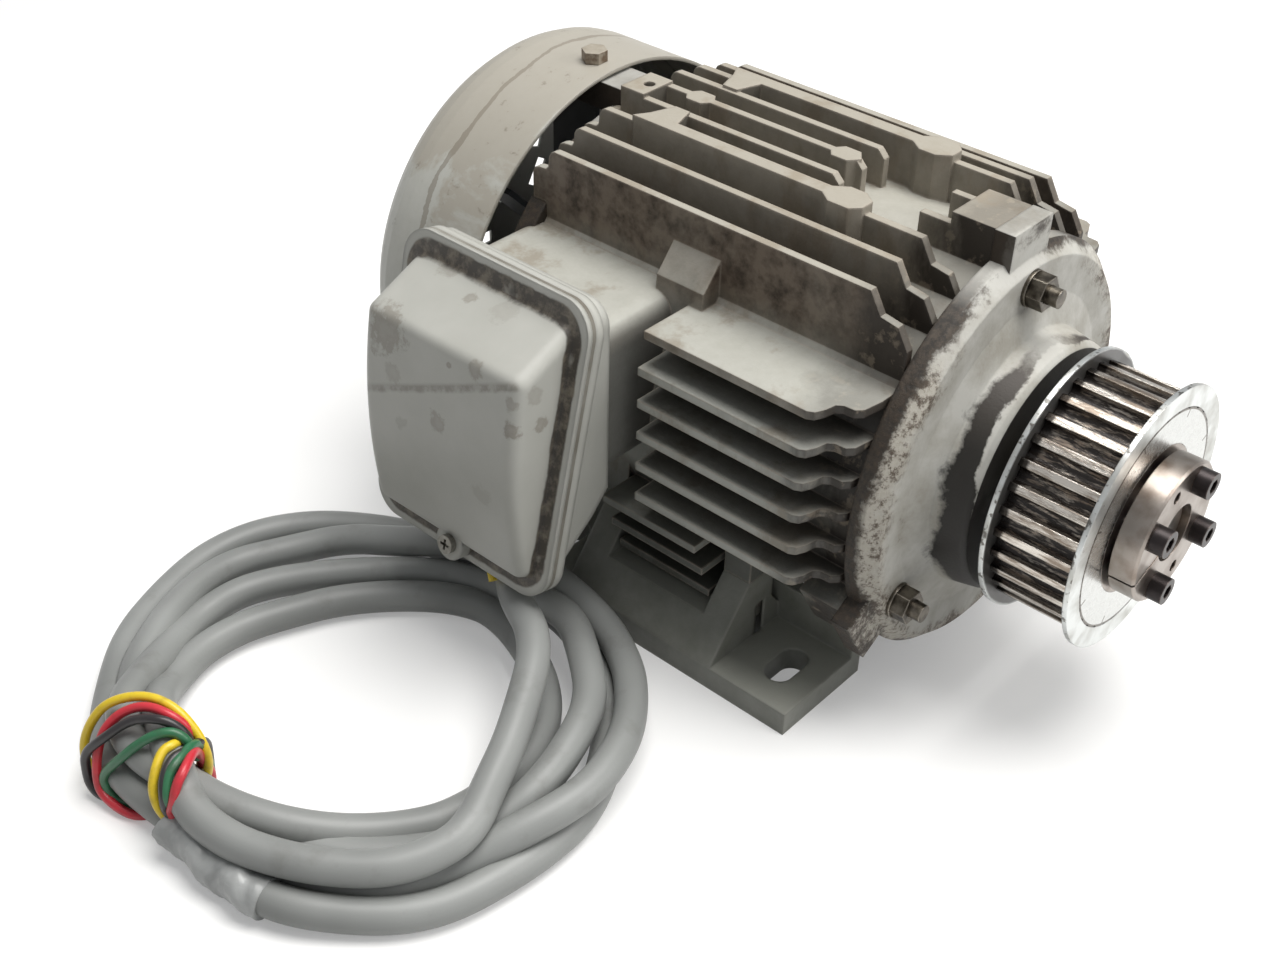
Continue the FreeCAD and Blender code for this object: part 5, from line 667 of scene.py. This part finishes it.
tone = add(tree, "Mix", {0: drip, 6: linear("#b3b3ad"), 7: linear("#9f9f98")})
# Painted shade: darker towards the bottom of the box
lower_shade = add(tree, "MapRange", {"Value": z, "From Min": 0.110, "From Max": 0.060, "To Max": 0.12})
tone = add(tree, "Mix", {0: lower_shade, 6: tone, 7: linear("#7f7f77")})
# Each stain is darkest near its edge. The noise adds about one and a half radii to the distance.
for spot_place, spot_radius, strength in LID_STAINS:
    away = add(tree, "VectorMath", {0: place, 1: spot_place}, operation="DISTANCE")
    speckle = [(speck, 3 * spot_radius)]
    mark = ragged(tree, away, speckle, 2.55 * spot_radius, 2.15 * spot_radius, most=strength)
    ringed = ragged(tree, away, speckle, 1.6 * spot_radius, 2.2 * spot_radius, least=0.75)
    mark = add(tree, "Math", {0: mark, 1: ringed}, operation="MULTIPLY")
    tone = add(tree, "Mix", {0: mark, 6: tone, 7: linear("#6d6457")})
# A slanting tide mark across the front of the dome, faint in places
tide = add(tree, "Math", {0: y, 1: TIDE_SLOPE, 2: z}, operation="MULTIPLY_ADD")
tide = add(tree, "Math", {0: speck, 1: 0.002, 2: tide}, operation="MULTIPLY_ADD")
tide = add(tree, "Math", {0: tide, 1: TIDE_LEVEL}, operation="SUBTRACT")
tide = add(tree, "Math", {0: tide}, operation="ABSOLUTE")
tide = add(tree, "MapRange", {"Value": tide, "From Min": 0.0020, "From Max": 0.0007, "To Max": 0.55})
lid_off = add(tree, "MapRange", {"Value": x, "From Min": -0.1225, "From Max": -0.1235})
tide = add(tree, "Math", {0: tide, 1: lid_off}, operation="MULTIPLY")
faint = add(tree, "MapRange", {"Value": speck, "From Min": 0.40, "From Max": 0.58,
                               "To Min": 0.45, "To Max": 1.0})
tide = add(tree, "Math", {0: tide, 1: faint}, operation="MULTIPLY")
tone = add(tree, "Mix", {0: tide, 6: tone, 7: linear("#5c5549")})
# Caked dirt on the flange, up to the foot of the dome, with the outer lip left clean
local = add(tree, "VectorMath", {0: place, 1: RIM_FOOT}, operation="SUBTRACT")
depth = add(tree, "VectorMath", {0: local, 1: RIM_OUT}, operation="DOT_PRODUCT")
rise = add(tree, "VectorMath", {0: local, 1: RIM_UP}, operation="DOT_PRODUCT")
rise = add(tree, "Math", {0: rise, 1: RIM_MIDDLE}, operation="SUBTRACT")
rise = add(tree, "Math", {0: rise}, operation="ABSOLUTE")
rise = add(tree, "Math", {0: rise, 1: RIM_HALF - RIM_ROUND}, operation="SUBTRACT")
_, wide, _ = add(tree, "SeparateXYZ", {0: local}).outputs
wide = add(tree, "Math", {0: wide}, operation="ABSOLUTE")
wide = add(tree, "Math", {0: wide, 1: RIM_HALF_WIDE - RIM_ROUND}, operation="SUBTRACT")
past = add(tree, "CombineXYZ", {0: rise, 1: wide})
past = add(tree, "VectorMath", {0: past, 1: (0.0, 0.0, 0.0)}, operation="MAXIMUM")
past = add(tree, "VectorMath", {0: past}, operation="LENGTH")
within = add(tree, "Math", {0: rise, 1: wide}, operation="MAXIMUM")
within = add(tree, "Math", {0: within, 1: 0.0}, operation="MINIMUM")
inset = add(tree, "Math", {0: past, 1: within}, operation="ADD")
inset = add(tree, "Math", {0: RIM_ROUND, 1: inset}, operation="SUBTRACT")
inside = ragged(tree, inset, [(speck, 0.0016)], 0.0027, 0.0034)
ends = ragged(tree, inset, [(speck, 0.0016)], 0.0098, 0.0086)
outside = ragged(tree, depth, [(drip, -0.006)], -0.0026, -0.0018)
caked = ragged(tree, depth, [(drip, -0.006)], 0.0012, 0.0004, most=0.93)
for mask in (ends, inside, outside):
    caked = add(tree, "Math", {0: caked, 1: mask}, operation="MULTIPLY")
mottle = add(tree, "MapRange", {"Value": speck, "From Min": 0.46, "From Max": 0.64})
dirt = add(tree, "Mix", {0: mottle, 6: linear("#332c25"), 7: linear("#6a6255")})
tone = add(tree, "Mix", {0: caked, 6: tone, 7: dirt})
skin = add(tree, "Bump", {"Height": speck, "Normal": rounded, "Strength": 0.08, "Distance": 0.0004})
plug(shader, {"Base Color": tone, "Normal": skin})
dress(box_paint, "terminal_box_base", "terminal_box_lid")

# The lid's cross-slot screw: dull grey plated steel, dirty in its slots. Dirt patches are 2 mm.
plain_screw, tree, shader, place = shaded("dull_plated_screw", roughness=0.4, metallic=0.8)
rounded = add(tree, "Bevel", {"Radius": 0.0004}, samples=4)
dirt = add(tree, "TexNoise", {"Vector": place, "Scale": 1 / 0.002, "Detail": 4.0})
tone = add(tree, "Mix", {0: dirt, 6: linear("#a5a39c"), 7: linear("#57524a")})
plug(shader, {"Base Color": tone, "Normal": rounded})
dress(plain_screw, "lid_screw")

# Belt pulley
# A toothed steel ring, turned and hobbed, with rubbed lands and glossy black belt grease in its grooves, in
# lumps about 2 mm wide that are drawn out along the teeth. Its end faces are bright, with a turned line and
# punch marks where the flange is staked. It turns with the shaft.
LINE_RADIUS, LINE_HALF = 0.0366, 0.0005
PUNCH_MARKS, PUNCH_RADIUS, PUNCH_REACH, PUNCH_SHARE = 8, 0.0352, 0.0016, 0.012
pulley_steel, tree, shader, place = shaded("hobbed_steel_with_grease")
rounded = add(tree, "Bevel", {"Radius": 0.0006}, samples=4)
arm, radius = about_shaft(tree, place)
_, y, _ = add(tree, "SeparateXYZ", {0: place}).outputs
_, facing_y, _ = facing(tree)
face = add(tree, "Math", {0: facing_y}, operation="ABSOLUTE")
face = add(tree, "MapRange", {"Value": face, "From Min": 0.7, "From Max": 0.9})
drawn = add(tree, "Mapping", {"Vector": place, "Scale": (1.0, 0.14, 1.0)})
lumps = add(tree, "TexNoise", {"Vector": drawn, "Scale": 1 / 0.0022, "Detail": 6.0, "Roughness": 0.7})
fine = add(tree, "TexNoise", {"Vector": drawn, "Scale": 1 / 0.0011, "Detail": 4.0, "Roughness": 0.7})
packed = ragged(tree, radius, [(lumps, -0.0022)], 0.0383, 0.0374)
glint = add(tree, "MapRange", {"Value": fine, "From Min": 0.50, "From Max": 0.60,
                               "To Min": 1.0, "To Max": 0.2})
packed = add(tree, "Math", {0: packed, 1: glint}, operation="MULTIPLY")
land = add(tree, "MapRange", {"Value": lumps, "From Min": 0.42, "From Max": 0.58})
tone = add(tree, "Mix", {0: land, 6: linear("#d6d0c7"), 7: linear("#8b7f73")})
tone = add(tree, "Mix", {0: packed, 6: tone, 7: linear("#231b16")})
# Painted shade: a dark band on the teeth next to the rear flange
rear_shade = ragged(tree, y, [(fine, 0.002)], -0.1060, -0.1050, most=0.92)
tone = add(tree, "Mix", {0: rear_shade, 6: tone, 7: linear("#1c1714")})
line = add(tree, "Math", {0: radius, 1: LINE_RADIUS, 2: LINE_HALF}, operation="COMPARE")
arm_x, _, arm_z = add(tree, "SeparateXYZ", {0: arm}).outputs
spoke = add(tree, "Math", {0: arm_x, 1: arm_z}, operation="ARCTAN2")
spoke = add(tree, "Math", {0: spoke, 1: PUNCH_MARKS / math.tau}, operation="MULTIPLY")
spoke = add(tree, "Math", {0: spoke}, operation="FRACT")
spoke = add(tree, "Math", {0: spoke, 1: 0.5, 2: PUNCH_SHARE}, operation="COMPARE")
punch = add(tree, "Math", {0: radius, 1: PUNCH_RADIUS, 2: PUNCH_REACH}, operation="COMPARE")
punch = add(tree, "Math", {0: spoke, 1: punch}, operation="MULTIPLY")
line = add(tree, "Math", {0: line, 1: punch}, operation="MAXIMUM")
bright = add(tree, "Mix", {0: fine, 6: linear("#cfd1d0"), 7: linear("#b9bab7")})
bright = add(tree, "Mix", {0: line, 6: bright, 7: linear("#5c5750")})
tone = add(tree, "Mix", {0: face, 6: tone, 7: bright})
wet = add(tree, "Math", {0: 1.0, 1: face}, operation="SUBTRACT")
wet = add(tree, "Math", {0: wet, 1: packed}, operation="MULTIPLY")
bare = add(tree, "MapRange", {"Value": wet, "To Min": 1.0, "To Max": 0.2})
gloss = add(tree, "MapRange", {"Value": lumps, "From Min": 0.3, "From Max": 0.7,
                               "To Min": 0.16, "To Max": 0.34})
ridged = add(tree, "MapRange", {"Value": face, "To Min": 0.4, "To Max": 0.04})
skin = add(tree, "Bump", {"Height": lumps, "Normal": rounded, "Strength": ridged, "Distance": 0.0008})
plug(shader, {"Base Color": tone, "Metallic": bare, "Roughness": gloss, "Normal": skin})
dress(pulley_steel, "timing_pulley")

# Pulley flanges
# Two pressed rings, bright zinc plated, pushed onto the pulley's seats and staked in place
# with a punch. Grease has spread on the faces towards the teeth. Clouds in the plating are about 9 mm and
# specks on the edges 2.4 mm across.
PULLEY_MIDDLE = -0.117
zinc, tree, shader, place = shaded("bright_zinc_on_sheet")
rounded = add(tree, "Bevel", {"Radius": 0.0006}, samples=4)
_, radius = about_shaft(tree, place)
_, y, _ = add(tree, "SeparateXYZ", {0: place}).outputs
_, facing_y, _ = facing(tree)
cloud = add(tree, "TexNoise", {"Vector": place, "Scale": 1 / 0.009, "Detail": 5.0})
mask = add(tree, "MapRange", {"Value": cloud, "From Min": 0.42, "From Max": 0.7})
tone = add(tree, "Mix", {0: mask, 6: linear("#d2d5d4"), 7: linear("#a9a9a4")})
middle = add(tree, "Math", {0: y, 1: -PULLEY_MIDDLE}, operation="ADD")
toward = add(tree, "Math", {0: middle, 1: facing_y}, operation="MULTIPLY")
toward = add(tree, "MapRange", {"Value": toward, "From Min": -0.004, "From Max": -0.008, "To Max": 0.92})
spread = ragged(tree, radius, [(cloud, 0.002)], 0.0448, 0.0440)
toward = add(tree, "Math", {0: toward, 1: spread}, operation="MULTIPLY")
tone = add(tree, "Mix", {0: toward, 6: tone, 7: linear("#1f1a16")})
rim = add(tree, "Math", {0: facing_y}, operation="ABSOLUTE")
rim = add(tree, "MapRange", {"Value": rim, "From Min": 0.6, "From Max": 0.3})
speck = add(tree, "TexNoise", {"Vector": place, "Scale": 1 / 0.0024, "Detail": 3.0})
speck = add(tree, "MapRange", {"Value": speck, "From Min": 0.56, "From Max": 0.62, "To Max": 0.8})
speck = add(tree, "Math", {0: speck, 1: rim}, operation="MULTIPLY")
tone = add(tree, "Mix", {0: speck, 6: tone, 7: linear("#4b463f")})
bare = add(tree, "MapRange", {"Value": toward, "To Min": 1.0, "To Max": 0.0})
gloss = add(tree, "MapRange", {"Value": cloud, "To Min": 0.2, "To Max": 0.45})
plug(shader, {"Base Color": tone, "Metallic": bare, "Roughness": gloss, "Normal": rounded})
dress(zinc, "pulley_front_flange", "pulley_rear_flange")

# Clamping bush and its screws
# A slit steel sleeve with a turned collar that grips the shaft as four socket screws pull its two cones
# together. The collar is satin steel, a little brown in clouds of about 8 mm.
bush_steel, tree, shader, place = shaded("turned_bush_steel", roughness=0.32, metallic=1.0)
rounded = add(tree, "Bevel", {"Radius": 0.0005}, samples=4)
cloud = add(tree, "TexNoise", {"Vector": place, "Scale": 1 / 0.008, "Detail": 4.0})
mask = add(tree, "MapRange", {"Value": cloud, "From Min": 0.4, "From Max": 0.7})
tone = add(tree, "Mix", {0: mask, 6: linear("#9d958e"), 7: linear("#76695f")})
plug(shader, {"Base Color": tone, "Normal": rounded})
dress(bush_steel, "bush_inner_sleeve", "bush_outer_sleeve")

# The screws, hardened steel with black oxide: dark, slightly glossy, bare on the edges. Clouds are 3 mm.
black_oxide, tree, shader, place = shaded("black_oxide_screw", roughness=0.36, metallic=0.8)
rounded = add(tree, "Bevel", {"Radius": 0.0005}, samples=4)
rubbed = rubbed_edges(tree, rounded)
cloud = add(tree, "TexNoise", {"Vector": place, "Scale": 1 / 0.003, "Detail": 4.0})
tone = add(tree, "Mix", {0: cloud, 6: linear("#3d3737"), 7: linear("#262323")})
tone = add(tree, "Mix", {0: rubbed, 6: tone, 7: linear("#6f645f")})
plug(shader, {"Base Color": tone, "Normal": rounded})
dress(black_oxide, "bush_screws")
